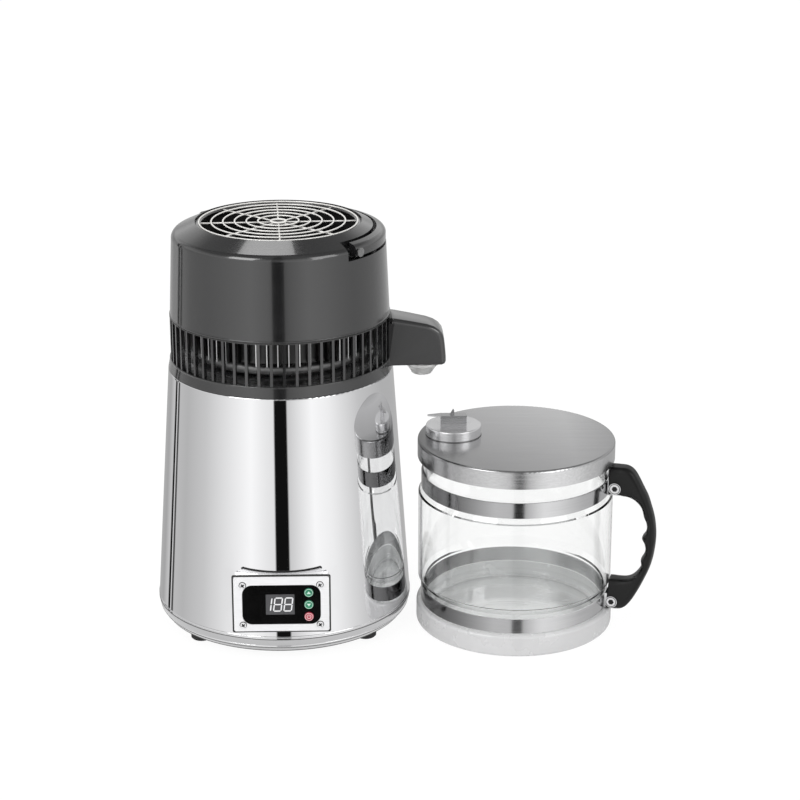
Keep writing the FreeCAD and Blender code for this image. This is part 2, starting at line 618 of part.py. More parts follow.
# Heater: a disc against the pot's floor with the heating ring cast on it.
heater_top = "(pot_floor - pot_wall)"
heater = body("heater")
turned(
    heater,
    loop(
        sketch(heater, "heater_outline"),
        ("stud_radius + pin_gap + 1", f"{heater_top} - heater_disc"),
        ("heater_ring - heater_rod/2", f"{heater_top} - heater_disc"),
        ("heater_ring - heater_rod/2", f"{heater_top} - heater_rod", "heater_rod*0.55"),
        ("heater_ring + heater_rod/2", f"{heater_top} - heater_rod"),
        ("heater_ring + heater_rod/2", f"{heater_top} - heater_disc"),
        ("heater_radius", f"{heater_top} - heater_disc"),
        ("heater_radius", heater_top),
        ("stud_radius + pin_gap + 1", heater_top),
    ),
)
clamp_top = f"({heater_top} - heater_disc)"
lathe(
    "heater_clamp",
    ("0", clamp_top + " - stud_long"),
    ("stud_radius", clamp_top + " - stud_long"),
    ("stud_radius", clamp_top + " - 9"),
    ("stud_radius + 4", clamp_top + " - 9"),
    ("stud_radius + 4", clamp_top + " - 2.5"),
    ("heater_ring - heater_rod/2 - 4", clamp_top + " - 1.5"),
    ("heater_ring - heater_rod/2 - 4", clamp_top),
    ("stud_radius", clamp_top),
    ("stud_radius", heater_top),
    ("0", heater_top),
)

# Two thermal cut-outs hang under the clamp's plate.
stats = doc.addObject("Part::MultiFuse", "thermostats")
stats.Label = "thermostats"
cans = []
for name, side in (("boil", 1), ("dry", -1)):
    can = doc.addObject("Part::Cylinder", f"cut_out_{name}")
    bind(can, "Radius", "thermostat_radius")
    bind(can, "Height", "thermostat_tall")
    bind(can, "Placement.Base.x", f"{side}*thermostat_offset")
    bind(can, "Placement.Base.z", f"{clamp_top} - 2.6 - thermostat_tall")
    cans.append(can)
    for edge in (1, -1):
        tab = doc.addObject("Part::Box", f"tab_{name}_{'front' if edge < 0 else 'back'}")
        bind(tab, "Length", "6")
        bind(tab, "Width", "1")
        bind(tab, "Height", "8.5")
        bind(tab, "Placement.Base.x", f"{side}*thermostat_offset - 3")
        bind(tab, "Placement.Base.y", f"{edge}*thermostat_radius/2 - 0.5")
        bind(tab, "Placement.Base.z", f"{clamp_top} - 2.6 - thermostat_tall - 7.5")
        cans.append(tab)
stats.Shapes = cans
place(stats)

# Control panel. The bezel is a flat steel plate whose sides run back to the round wall.
bezel = body("panel_bezel")
face = sketch(bezel, "bezel_outline", away="panel_front - 12")
soft_box_line(face, "0", "panel_mid", "panel_wide", "panel_tall", "2")
raised(bezel, face, "bezel_block", "12")
inner = sketch(bezel, "bezel_inside", away="panel_front - panel_wall")
soft_box_line(inner, "0", "panel_mid", "panel_wide - 2*panel_wall", "panel_tall - 2*panel_wall", "1")
cut(bezel, inner, "bezel_hollow", "12")
hole = sketch(bezel, "window_hole", away="panel_front + 1")
soft_box_line(hole, "0", "window_mid", "window_wide", "window_tall", "window_corner")
cut(bezel, hole, "window_cut", "panel_wall + 2")
holes = sketch(bezel, "screw_holes", away="panel_front + 1")
for sx in (-1, 1):
    for sz in (-1, 1):
        ring_line(holes, f"{sx}*screw_x", f"window_mid + {sz}*screw_z", "screw_radius + pin_gap")
cut(bezel, holes, "screw_cut", "panel_wall + 2")
turned(
    bezel,
    loop(
        sketch(bezel, "wall_clearance"),
        ("0", "shell_low - 10"),
        (f"shell_low_radius + {taper}*10 + slide_gap", "shell_low - 10"),
        ("shell_top_radius + slide_gap", "shell_top"),
        ("0", "shell_top"),
    ),
    "wall_cut",
    cut=True,
)

# The dark window fills the bezel's hole; its rim lies behind the bezel.
window = body("panel_window")
face = sketch(window, "window_outline", away="panel_front - 0.4 - window_thick")
soft_box_line(
    face, "0", "window_mid", "window_wide - 2*slide_gap", "window_tall - 2*slide_gap",
    "window_corner - slide_gap",
)
raised(window, face, "window_face", "window_thick")
rim = sketch(window, "window_rim_outline", away="panel_front - 0.4 - window_thick - 1.2")
soft_box_line(
    rim, "0", "window_mid", "window_wide + 2*window_rim", "window_tall + 2*window_rim", "3",
)
raised(window, rim, "window_rim", "1.2 + window_thick + 0.4 - panel_wall - 0.05")
gap = sketch(window, "display_hole", away="panel_front + 1")
box_line(
    gap, "display_x - display_wide/2", "window_mid - display_tall/2",
    "display_x + display_wide/2", "window_mid + display_tall/2",
)
cut(window, gap, "display_cut")
holes = sketch(window, "button_holes", away="panel_front + 1")
for step in (1, 0, -1):
    ring_line(holes, "button_x", f"window_mid + {step}*button_pitch", "button_radius + slide_gap")
for sx in (-1, 1):
    for sz in (-1, 1):
        ring_line(holes, f"{sx}*screw_x", f"window_mid + {sz}*screw_z", "screw_radius + pin_gap")
cut(window, holes, "button_cut")
window_back = "(panel_front - 0.4 - window_thick - 1.2)"

# The control tray behind the wall holds the board and takes the four screws.
tray_wide = "(window_wide + 2*window_rim)"
tray_tall = "(window_tall + 2*window_rim)"
tray = body("control_tray")
block = sketch(tray, "tray_outline", away=f"{window_back} - tray_deep")
soft_box_line(block, "0", "window_mid", tray_wide, tray_tall, "3")
raised(tray, block, "tray_block", "tray_deep")
room = sketch(tray, "tray_room", away=window_back)
half_w, half_h, boss = f"({tray_wide}/2 - tray_wall)", f"({tray_tall}/2 - tray_wall)", "tray_boss"
loop(
    room,
    (f"-{half_w} + {boss}", f"window_mid - {half_h}"),
    (f"{half_w} - {boss}", f"window_mid - {half_h}"),
    (f"{half_w} - {boss}", f"window_mid - {half_h} + {boss}"),
    (half_w, f"window_mid - {half_h} + {boss}"),
    (half_w, f"window_mid + {half_h} - {boss}"),
    (f"{half_w} - {boss}", f"window_mid + {half_h} - {boss}"),
    (f"{half_w} - {boss}", f"window_mid + {half_h}"),
    (f"-{half_w} + {boss}", f"window_mid + {half_h}"),
    (f"-{half_w} + {boss}", f"window_mid + {half_h} - {boss}"),
    (f"-{half_w}", f"window_mid + {half_h} - {boss}"),
    (f"-{half_w}", f"window_mid - {half_h} + {boss}"),
    (f"-{half_w} + {boss}", f"window_mid - {half_h} + {boss}"),
)
cut(tray, room, "tray_hollow", "tray_deep - tray_wall")
holes = sketch(tray, "tray_screw_holes", away=window_back)
for sx in (-1, 1):
    for sz in (-1, 1):
        ring_line(holes, f"{sx}*screw_x", f"window_mid + {sz}*screw_z", "screw_radius + pin_gap")
cut(tray, holes, "tray_screw_cut", "screw_long")
posts = sketch(tray, "tray_posts", away=f"{window_back} - tray_deep + tray_wall")
for sx in (-1, 1):
    for sz in (-1, 1):
        ring_line(posts, f"{sx}*24", f"window_mid + {sz}*10", "2.2")
raised(
    tray, posts, "tray_post",
    f"panel_front - board_back - board_thick - ({window_back} - tray_deep + tray_wall)",
)

board = body("circuit_board")
face = sketch(board, "board_outline", away="panel_front - board_back - board_thick")
box_line(
    face, f"-{half_w} + {boss} + 0.5 - 0", f"window_mid - {half_h} + 0.5",
    f"{half_w} - {boss} - 0.5", f"window_mid + {half_h} - 0.5",
)
raised(board, face, "board_sheet", "board_thick")
switches = sketch(board, "switch_outline", away="panel_front - board_back")
for step in (1, 0, -1):
    box_line(
        switches, "button_x - 3", f"window_mid + {step}*button_pitch - 3",
        "button_x + 3", f"window_mid + {step}*button_pitch + 3",
    )
raised(board, switches, "switches", "3.4")

display = body("display_module")
face = sketch(display, "display_outline", away="panel_front - board_back")
box_line(
    face, "display_x - display_wide/2 + slide_gap", "window_mid - display_tall/2 + slide_gap",
    "display_x + display_wide/2 - slide_gap", "window_mid + display_tall/2 - slide_gap",
)
raised(display, face, "display_block", "board_back - 0.7")

# Three push buttons: a round cap, a collar behind the window and a stem to its switch.
for name, step in (("button_up", 1), ("button_down", 0), ("button_power", -1)):
    button = body(name, x="button_x", z=f"window_mid + {step}*button_pitch")
    cap = sketch(button, name + "_cap", away=f"{window_back} - 0.1")
    ring_line(cap, "0", "0", "button_radius")
    capped = raised(button, cap, name + "_front", f"panel_front - 0.4 + button_proud - ({window_back} - 0.1)")
    collar = sketch(button, name + "_collar", away=f"{window_back} - slide_gap - 1")
    ring_line(collar, "0", "0", "button_radius + button_collar")
    raised(button, collar, name + "_stop", "1")
    stem = sketch(button, name + "_stem", away=f"panel_front - board_back + 3.4 + button_travel + slide_gap")
    ring_line(stem, "0", "0", "1.7")
    raised(
        button, stem, name + "_push",
        f"{window_back} - slide_gap - 0.5 - (panel_front - board_back + 3.4 + button_travel + slide_gap)",
    )
    doc.recompute()
    front = size(f"panel_front - 0.4 + button_proud")
    rounded(
        button, button.Tip, name + "_edge", "0.5",
        lambda e: abs(e.BoundBox.YMin + front) < 0.01 and abs(e.BoundBox.YMax + front) < 0.01,
    )

# Four cross-head screws hold window, bezel and tray together.
screws = body("panel_screws")
heads = sketch(screws, "screw_heads", away="panel_front")
shanks = sketch(screws, "screw_shanks", away=f"{window_back} - screw_long + 1")
slots = sketch(screws, "screw_slots", away="panel_front + 1.5")
for sx in (-1, 1):
    for sz in (-1, 1):
        cx, cz = f"({sx}*screw_x)", f"(window_mid + {sz}*screw_z)"
        ring_line(heads, cx, cz, "screw_head")
        ring_line(shanks, cx, cz, "screw_radius")
        box_line(slots, f"{cx} - 1.6", f"{cz} - 0.35", f"{cx} + 1.6", f"{cz} + 0.35")
raised(screws, heads, "heads", "1.5")
raised(screws, shanks, "shanks", f"panel_front - ({window_back} - screw_long + 1)")
cut(screws, slots, "slots_across", "0.8")
slots = sketch(screws, "screw_slots_up", away="panel_front + 1.5")
for sx in (-1, 1):
    for sz in (-1, 1):
        cx, cz = f"({sx}*screw_x)", f"(window_mid + {sz}*screw_z)"
        box_line(slots, f"{cx} - 0.35", f"{cz} - 1.6", f"{cx} + 0.35", f"{cz} + 1.6")
cut(screws, slots, "slots_up", "0.8")

# Power inlet in the back of the wall: a flanged socket with three blades.
inlet_face = f"(shell_low_radius - {taper}*(inlet_mid - shell_low) + 2.5)"
inlet = body("power_inlet")
flange = sketch(inlet, "inlet_flange_outline", away=f"-{inlet_face}")
soft_box_line(
    flange, "0", "inlet_mid", "inlet_wide + 2*inlet_flange", "inlet_tall + 2*inlet_flange", "4",
)
raised(inlet, flange, "inlet_flange", "4.5")
turned(
    inlet,
    loop(
        sketch(inlet, "inlet_wall_clearance"),
        ("0", "shell_low - 10"),
        (f"shell_low_radius + {taper}*10 + slide_gap", "shell_low - 10"),
        ("shell_top_radius + slide_gap", "shell_top"),
        ("0", "shell_top"),
    ),
    "inlet_wall_cut",
    cut=True,
)
shaft = sketch(inlet, "inlet_body_outline", away=f"-{inlet_face}")
box_line(
    shaft, "-inlet_wide/2", "inlet_mid - inlet_tall/2", "inlet_wide/2", "inlet_mid + inlet_tall/2",
)
raised(inlet, shaft, "inlet_body", "inlet_deep")
mouth = sketch(inlet, "inlet_mouth", away=f"-{inlet_face}")
soft_box_line(
    mouth, "0", "inlet_mid", "inlet_wide - 2*inlet_wall", "inlet_tall - 2*inlet_wall", "3",
)
cut(inlet, mouth, "inlet_hollow", "inlet_deep - inlet_wall", back=True)
blades = sketch(inlet, "inlet_blades", away=f"-{inlet_face} + inlet_deep - inlet_wall")
for bx, bz in (("-7", "-2"), ("7", "-2"), ("0", "2")):
    box_line(
        blades, f"{bx} - 1", f"inlet_mid + {bz} - 2.4", f"{bx} + 1", f"inlet_mid + {bz} + 2.4",
    )
raised(inlet, blades, "inlet_pins", "inlet_pin", back=True)

# Vent ring: the head's lower rim, the cage of upright slats and a collar inside the hood.
# The slots are cut right round, then the sector behind the spout is closed again.
vent = body("vent_ring")
vent_in = "(vent_radius - vent_wall)"
seat = "(dome_radius + fit_gap)"
turned(
    vent,
    loop(
        sketch(vent, "vent_outline"),
        ("shell_top_radius", "shell_top"),
        ("rim_top_radius", "rim_top"),
        ("vent_radius", "rim_top"),
        ("vent_radius", "cover_low"),
        ("cover_low_radius - cover_wall - fit_gap", "cover_low"),
        ("cover_low_radius - cover_wall - fit_gap - draft*collar_tall", "cover_low + collar_tall"),
        (f"{vent_in} - 2.5", "cover_low + collar_tall"),
        (f"{vent_in} - 2.5", "cover_low - 1.5"),
        (vent_in, "cover_low - 1.5"),
        (vent_in, "dome_rim"),
        (f"{vent_in} - 2.7", "dome_rim"),
        (f"{vent_in} - 2.7", "dome_rim - 2"),
        ("shell_top_radius - 4", "dome_rim - 2"),
        ("shell_top_radius - 4", "shell_top"),
    ),
)
slot = sketch(vent, "vent_slot_outline", away=f"{vent_in} - 1")
box_line(slot, "-vent_slot/2", "rim_top + 0.6", "vent_slot/2", "cover_low - 1.5")
opened = cut(vent, slot, "vent_slot", "vent_wall + 3", back=True)
repeated(vent, [opened], "vent_slots", "vent_count")
shut = sketch(vent, "spout_sector")
box_line(shut, vent_in, "rim_top - 0.5", "vent_radius", "cover_low - 0.5")
turned(vent, shut, "spout_plate", angle="1.94*asin(spout_wide/2/vent_radius)")
gate = sketch(vent, "outlet_gate", "YZ_Plane")
box_line(gate, "-coil_tube - 5", "coil_low - coil_tube - 3", "coil_tube + 3", "coil_low + coil_tube + 6")
cut(vent, gate, "outlet_cut", back=True)

# Hood: drafted wall, rounded edge, sloping shoulder, and a ledge for the fan's grille.
cover = body("head_cover")
slope = "((cover_top - cover_high - cover_round*0.55) / (cover_high_radius - grille_radius - fit_gap))"
turned(
    cover,
    loop(
        sketch(cover, "hood_outline"),
        ("cover_low_radius", "cover_low"),
        ("cover_high_radius", "cover_high", "cover_round"),
        ("cover_high_radius - 0.53*cover_round", "cover_high + 0.75*cover_round"),
        ("grille_radius + fit_gap", "cover_top"),
        ("grille_radius + fit_gap", "cover_top - grille_tall"),
        ("ledge_inner", "cover_top - grille_tall"),
        ("ledge_inner", "cover_top - grille_tall - ledge_wall"),
        ("grille_radius + 2", "cover_top - grille_tall - ledge_wall"),
        ("cover_high_radius - 0.75*cover_round - cover_wall", "cover_high + 0.4*cover_round"),
        ("cover_high_radius - cover_wall", "cover_high - cover_wall"),
        ("cover_low_radius - cover_wall", "cover_low"),
    ),
    "hood",
)
# The recess for the folded handle: a thick sector is added inside, then hollowed from outside.
half_recess = "(90 + recess_over)"
thick = sketch(cover, "recess_block", turn="bail_turn")
loop(
    thick,
    ("recess_inner - cover_wall", "recess_low - cover_wall"),
    ("cover_high_radius - 1", "recess_low - cover_wall"),
    ("cover_high_radius - 1", "cover_high - 2"),
    ("recess_inner - cover_wall", "cover_high + 5"),
)
turned(cover, thick, "recess_wall", angle=f"2*{half_recess} + 3")
deep = sketch(cover, "recess_outline", turn="bail_turn")
loop(
    deep,
    ("recess_inner", "recess_low"),
    ("cover_high_radius + 5", "recess_low"),
    ("cover_high_radius + 5", "cover_top + 5"),
    ("recess_inner", "cover_top + 5"),
)
turned(cover, deep, "recess", angle=f"2*{half_recess}", cut=True)
pivots = body("bail_pivots", z="bail_pivot", turn="bail_turn")
# The two pivot bores run across the hood, square to the folded handle's middle.
across = sketch(cover, "pivot_bores", turn="bail_turn")
ring_line(across, "0", "bail_pivot", "pivot_radius + pin_gap")
cut(cover, across, "pivot_bore", "2*recess_inner + 4", both=True)

# Pivot screws: shank in the hood and the handle's eye, flat head outside.
for name, side in (("near", -1), ("far", 1)):
    start = "recess_inner - cover_wall - 4"
    rod = sketch(pivots, f"pivot_shank_{name}", away=start if side < 0 else f"-(bail_outer + 0.6)")
    ring_line(rod, "0", "0", "pivot_radius")
    raised(pivots, rod, f"pivot_rod_{name}", f"bail_outer + 0.6 - ({start})")
    knob = sketch(pivots, f"pivot_head_{name}", away="bail_outer + 0.6" if side < 0 else "-(bail_outer + 0.6 + pivot_head_tall)")
    ring_line(knob, "0", "0", "pivot_head")
    raised(pivots, knob, f"pivot_cap_{name}", "pivot_head_tall")

# Carrying handle: a half ring that fills the recess, with an eye at each end.
bail = body("carry_handle", turn="bail_turn")
arm = sketch(bail, "bail_outline")
loop(
    arm,
    ("bail_inner", "bail_low"),
    ("bail_outer", "bail_low"),
    ("bail_outer", "bail_low + bail_tall - 5", "6"),
    ("bail_outer - 4.5", "bail_low + bail_tall - 1"),
    ("bail_inner", "bail_low + bail_tall"),
)
turned(bail, arm, "half_ring", angle="180deg + 2*asin(bail_end/bail_outer)")
eyes = sketch(bail, "bail_eyes")
ring_line(eyes, "0", "bail_pivot", "pivot_radius + pin_gap")
cut(bail, eyes, "bail_eye", "2*bail_outer + 4", both=True)

# Fan: the frame hangs under the hood's ledge, four struts carry the motor.
frame_top = "(cover_top - grille_tall - ledge_wall)"
fan = body("fan_frame")
turned(
    fan,
    loop(
        sketch(fan, "frame_outline"),
        ("fan_bore", "fan_low"),
        ("fan_bore + fan_wall", "fan_low"),
        ("fan_bore + fan_wall", "fan_top"),
        ("ledge_inner + 3.5", f"{frame_top} - 2"),
        ("ledge_inner + 3.5", frame_top),
        ("ledge_inner + 0.5", frame_top),
        ("ledge_inner + 0.5", f"{frame_top} - 2"),
        ("fan_bore", "fan_top"),
    ),
    "duct",
)
strut = sketch(fan, "strut_outline", "XY_Plane", away="fan_low")
box_line(strut, "motor_radius + fit_gap", "-2", "fan_bore + fan_wall/2", "2")
struts = raised(fan, strut, "strut", "4")
repeated(fan, [struts], "struts", "4")
turned(
    fan,
    box_line(
        sketch(fan, "motor_seat"), "shaft_radius + 3", "fan_low", "motor_radius + 1", "fan_low + 2",
    ),
    "seat",
)
lathe(
    "fan_motor",
    ("shaft_radius + pin_gap", "fan_low + 2"),
    ("motor_radius", "fan_low + 2"),
    ("motor_radius", "fan_low + 2 + motor_tall"),
    ("shaft_radius + pin_gap", "fan_low + 2 + motor_tall"),
)

# Rotor: a cup over the motor, its shaft, and pitched blades lofted from hub to tip.
rotor = doc.addObject("Part::Feature", "fan_rotor")
rotor.Label = "fan_rotor"


def blade_section(out, width, tilt, height):
    """A blade's section at the radius out: a thin plate tilted about the radius."""
    across_y, thin = width / 2, 0.8
    spin = FreeCAD.Rotation(V3(1, 0, 0), tilt)
    points = [
        V3(out, 0, height) + spin.multVec(V3(0, y, z))
        for y, z in ((-across_y, -thin), (across_y, -thin), (across_y, thin), (-across_y, thin))
    ]
    return Part.makePolygon(points + points[:1])


hub_low, hub_top = size("fan_low + 2 + motor_tall + 1.2 - 8"), size("fan_top - 3")
hub = Part.makeCylinder(size("fan_hub"), hub_top - hub_low, V3(0, 0, hub_low)).cut(
    Part.makeCylinder(size("motor_radius + 1"), size("fan_low + 2 + motor_tall + 1.2") - hub_low, V3(0, 0, hub_low))
)
spindle = Part.makeCylinder(
    size("shaft_radius"), hub_top - size("fan_low + 1"), V3(0, 0, size("fan_low + 1"))
)
middle = (hub_low + hub_top) / 2
blade = Part.makeLoft(
    [
        blade_section(size("fan_hub - 1.5"), 16, 38, middle),
        blade_section(size("(fan_bore - fan_tip_gap + fan_hub)/2"), 22, 30, middle),
        blade_section(size("fan_bore - fan_tip_gap"), 27, 22, middle),
    ],
    True,
    True,
)
blades = []
count = int(size("fan_blades"))
for k in range(count):
    turned_blade = blade.copy()
    turned_blade.rotate(V3(), V3(0, 0, 1), 360.0 / count * k)
    blades.append(turned_blade)
rotor.Shape = hub.fuse([spindle] + blades).removeSplitter()
place(rotor)

# Fan grille: a flat frame, eight spokes and rings of six-sided wire above them.
grille = body("fan_grille", turn="grille_turn")
grille_low = "(cover_top - grille_tall)"
turned(
    grille,
    loop(
        sketch(grille, "grille_frame"),
        ("grille_inner", grille_low),
        ("grille_radius", grille_low),
        ("grille_radius", "cover_top - 1"),
        ("grille_radius - 1", "cover_top"),
        ("grille_inner + 1", "cover_top"),
        ("grille_inner", "cover_top - 1"),
    ),
    "frame",
)
spoke = sketch(grille, "spoke_outline", "XY_Plane", away=f"{grille_low} + 0.4")
box_line(spoke, "grille_hub - grille_wire/2", "-grille_wire/2", "grille_inner + 1", "grille_wire/2")
spokes = raised(grille, spoke, "spoke", "grille_wire")
wires = sketch(grille, "wire_outlines")


def wire_line(drawn, out):
    """A six-sided wire section whose lower half is in the spokes."""
    low, r = f"({grille_low} + 0.4 + grille_wire*0.75)", "grille_wire/2"
    loop(
        drawn,
        (f"{out} - {r}/2", low),
        (f"{out} + {r}/2", low),
        (f"{out} + {r}", f"{low} + {r}"),
        (f"{out} + {r}/2", f"{low} + 2*{r}"),
        (f"{out} - {r}/2", f"{low} + 2*{r}"),
        (f"{out} - {r}", f"{low} + {r}"),
    )


repeated(grille, [spokes], "spokes", "8")
for out in ["grille_hub"] + [f"(grille_first + {k}*grille_pitch)" for k in range(5)]:
    wire_line(wires, out)
turned(grille, wires, "wires")

# Dome: the steel lid over the pot. Steam leaves by its middle; its rim rests in the vent ring.
lathe(
    "dome_lid",
    ("coil_tube + fit_gap", "dome_top - dome_wall"),
    ("dome_side - 8", "dome_shoulder - dome_wall + 1.2"),
    ("dome_side - dome_wall", "dome_shoulder - 4"),
    ("dome_side - dome_wall", "dome_rim + dome_wall"),
    ("dome_side - 6", "dome_rim + dome_wall"),
    ("dome_side - 6", "dome_rim"),
    ("dome_radius", "dome_rim"),
    ("dome_radius", "dome_rim + dome_wall"),
    ("dome_side", "dome_rim + dome_wall"),
    ("dome_side", "dome_shoulder - 3.5"),
    ("dome_side - 7.5", "dome_shoulder + 1.2"),
    ("coil_tube + fit_gap", "dome_top"),
)
lathe(
    "dome_seal",
    (f"{vent_in} - 2.7 - fit_gap - seal_wall", "shell_top + 0.1"),
    (f"{vent_in} - 2.7 - fit_gap", "shell_top + 0.1"),
    (f"{vent_in} - 2.7 - fit_gap", "dome_rim"),
    (f"{vent_in} - 2.7 - fit_gap - seal_wall", "dome_rim"),
)

# Condenser coil. The tube rises from the dome, swings out to the coil's circle, winds down
# and leaves to the right through the spout, where it turns down into the nozzle.
coil = doc.addObject("Part::Feature", "condenser_coil")
coil.Label = "condenser_coil"
reach, tube = size("coil_radius"), size("coil_tube")
top, low = size("coil_top"), size("coil_low")


def bent(start, corner, end):
    """The arc that leaves start towards corner and arrives at end from it."""
    chord = (start + end) * 0.5
    half = (end - start).Length / 2
    up = corner - chord
    turn_angle = math.atan2(up.Length, half) * 2
    rise = half * math.tan(turn_angle / 4)
    return Part.Arc(start, chord + up * (rise / up.Length), end).toShape()


def joined(a, way_a, b, way_b):
    """Two arcs from a to b that keep the directions at both ends."""
    v, t = b - a, way_a + way_b
    p, q, r = 2 * (1 - way_a.dot(way_b)), 2 * v.dot(t), -v.dot(v)
    d = (-q + math.sqrt(q * q - 4 * p * r)) / (2 * p)
    c1, c2 = a + way_a * d, b - way_b * d
    mid = (c1 + c2) * 0.5
    return [bent(a, c1, mid), bent(mid, c2, b)]


def on_circle(angle, height):
    return V3(reach * math.cos(angle), reach * math.sin(angle), height)


swing, rise_bend, out_bend, down_bend = 30.0, 13.0, 20.0, 12.0
exit_angle = -math.asin(out_bend / (reach + out_bend))
lead = math.asin(swing / (reach - swing))
quarters = int(size("coil_turns")) * 4
enter_angle = exit_angle - quarters * math.pi / 2
away_x, away_y = math.cos(enter_angle - lead), math.sin(enter_angle - lead)
radial = V3(away_x, away_y, 0)
knee = (reach - swing) * math.cos(lead)
steam_low = size("dome_top - dome_wall")
path = [
    Part.LineSegment(V3(0, 0, steam_low), V3(0, 0, top - rise_bend)).toShape(),
    bent(V3(0, 0, top - rise_bend), V3(0, 0, top), radial * rise_bend + V3(0, 0, top)),
    Part.LineSegment(radial * rise_bend + V3(0, 0, top), radial * knee + V3(0, 0, top)).toShape(),
]
hinge_point = radial * knee + V3(0, 0, top)
swing_mid = V3(-away_y, away_x, 0) * swing + hinge_point
half_swing = (math.pi / 2 + lead) / 2
spoke_in = V3(away_y, -away_x, 0)
middle_way = FreeCAD.Rotation(V3(0, 0, 1), math.degrees(half_swing)).multVec(spoke_in)
path.append(
    Part.Arc(hinge_point, swing_mid + middle_way * swing, on_circle(enter_angle, top)).toShape()
)


def height_at(share):
    """Height along the coil: level at both ends, a steady fall between."""
    return top - (top - low) * (share - math.sin(2 * math.pi * share) / (2 * math.pi))


def way_at(angle, share):
    fall = -(top - low) * (1 - math.cos(2 * math.pi * share)) / (quarters * math.pi / 2)
    return V3(-reach * math.sin(angle), reach * math.cos(angle), fall).normalize()


for k in range(quarters):
    s0, s1 = k / quarters, (k + 1) / quarters
    a0, a1 = (enter_angle + k * math.pi / 2, enter_angle + (k + 1) * math.pi / 2)
    path += joined(
        on_circle(a0, height_at(s0)), way_at(a0, s0), on_circle(a1, height_at(s1)), way_at(a1, s1)
    )
leave = on_circle(exit_angle, low)
out_mid = leave * ((reach + out_bend) / reach)
out_mid.z = low
out_end = V3(out_mid.x, out_mid.y + out_bend, low)
from_mid = (leave - out_mid).normalize() + (out_end - out_mid).normalize()
path.append(Part.Arc(leave, out_mid + from_mid.normalize() * out_bend, out_end).toShape())
nozzle_x = size("nozzle_x")
path.append(Part.LineSegment(out_end, V3(nozzle_x - down_bend, 0, low)).toShape())
path.append(bent(V3(nozzle_x - down_bend, 0, low), V3(nozzle_x, 0, low), V3(nozzle_x, 0, low - down_bend)))
tip = Part.LineSegment(V3(nozzle_x, 0, low - down_bend), V3(nozzle_x, 0, size("spout_low + 1.5"))).toShape() \
    if low - down_bend > size("spout_low + 1.6") else None
if tip:
    path.append(tip)
spine = Part.Wire(path)
section = Part.Wire([Part.makeCircle(tube, V3(0, 0, steam_low), V3(0, 0, 1))])
coil.Shape = spine.makePipeShell([section], True, False)
print("coil: volume", round(coil.Shape.Volume), "of", round(math.pi * tube**2 * spine.Length))


def least_gap(wire, radius, step=2.0):
    """Least clear distance of a tube to itself, between points over a half turn of it apart."""
    spots = wire.discretize(Distance=step)
    apart = int(math.pi * 4 * radius / step)
    return min(
        spots[i].distanceToPoint(spots[j])
        for i in range(len(spots)) for j in range(i + apart, len(spots))
    ) - 2 * radius


print("coil: least gap to itself", round(least_gap(spine, tube), 2), "mm")
place(coil)

# Condenser fins: a finned band round the coil. The outlet leaves below it.
fins = body("condenser_fins")
band_in = "(coil_radius + coil_tube + fit_gap)"
turned(
    fins,
    box_line(sketch(fins, "band_outline"), band_in, "fin_low", f"{band_in} + fin_thick", "fin_top"),
    "band",
)
fin = sketch(fins, "fin_outline", "XY_Plane", away="fin_low")
box_line(fin, f"{band_in} + fin_thick/2", "-fin_thick/2", "fin_radius", "fin_thick/2")
one = raised(fins, fin, "fin", "fin_top - fin_low")
repeated(fins, [one], "fins", "fin_count")

# Spout: a hollow hood, open towards the vent ring, over the outlet.
spout = body("spout_hood")
root_x = "(vent_radius - 3)"
side = sketch(spout, "spout_side")
loop(
    side,
    (root_x, "spout_low"),
    ("spout_tip_x - spout_corner", "spout_low", "spout_corner"),
    ("spout_tip_x", "spout_low + spout_corner"),
    ("spout_nose_x", "spout_nose", "spout_round*1.25"),
    ("spout_brow_x", "spout_brow"),
    (root_x, "spout_root_top"),
)
raised(spout, side, "spout_block", "spout_wide", both=True)
room = sketch(spout, "spout_room")
loop(
    room,
    (f"{root_x} - 1", "spout_low + spout_wall"),
    ("spout_tip_x - spout_wall - 2", "spout_low + spout_wall"),
    ("spout_nose_x - spout_wall", "spout_nose - 1", "spout_round*1.1"),
    ("spout_brow_x - 1.5", "spout_brow - spout_wall"),
    (f"{root_x} - 1", "spout_root_top - spout_wall - 0.2"),
)
cut(spout, room, "spout_hollow", "spout_wide - 2*spout_wall", both=True)
hole = sketch(spout, "nozzle_hole", "XY_Plane", away="spout_low - 1")
ring_line(hole, "nozzle_x", "0", "nozzle_neck + slide_gap")
cut(spout, hole, "nozzle_cut", "spout_wall + 2", back=True)
turned(
    spout,
    loop(
        sketch(spout, "root_clearance"),
        ("0", "spout_low - 5"),
        ("shell_top_radius + slide_gap", "spout_low - 5"),
        ("shell_top_radius + slide_gap", "shell_top"),
        ("rim_top_radius + slide_gap", "rim_top"),
        ("vent_radius + slide_gap", "rim_top"),
        ("vent_radius + slide_gap", "spout_root_top + 5"),
        ("0", "spout_root_top + 5"),
    ),
    "root_cut",
    cut=True,
)

# Nozzle: the pale outlet insert, flanged under the spout.
lathe(
    "nozzle",
    ("nozzle_bore", "nozzle_low"),
    ("nozzle_tip", "nozzle_low", "3"),
    ("nozzle_tip + 2", "nozzle_low + 2.4"),
    ("nozzle_flange - 2", "spout_low - 3"),
    ("nozzle_flange", "spout_low - 2"),
    ("nozzle_flange", "spout_low"),
    ("nozzle_neck", "spout_low"),
    ("nozzle_neck", "spout_low + spout_wall + 0.6"),
    ("coil_tube + fit_gap", "spout_low + spout_wall + 0.6"),
    ("coil_tube + fit_gap", "spout_low + 0.5"),
    ("nozzle_bore", "spout_low + 0.5"),
    x="nozzle_x",
)

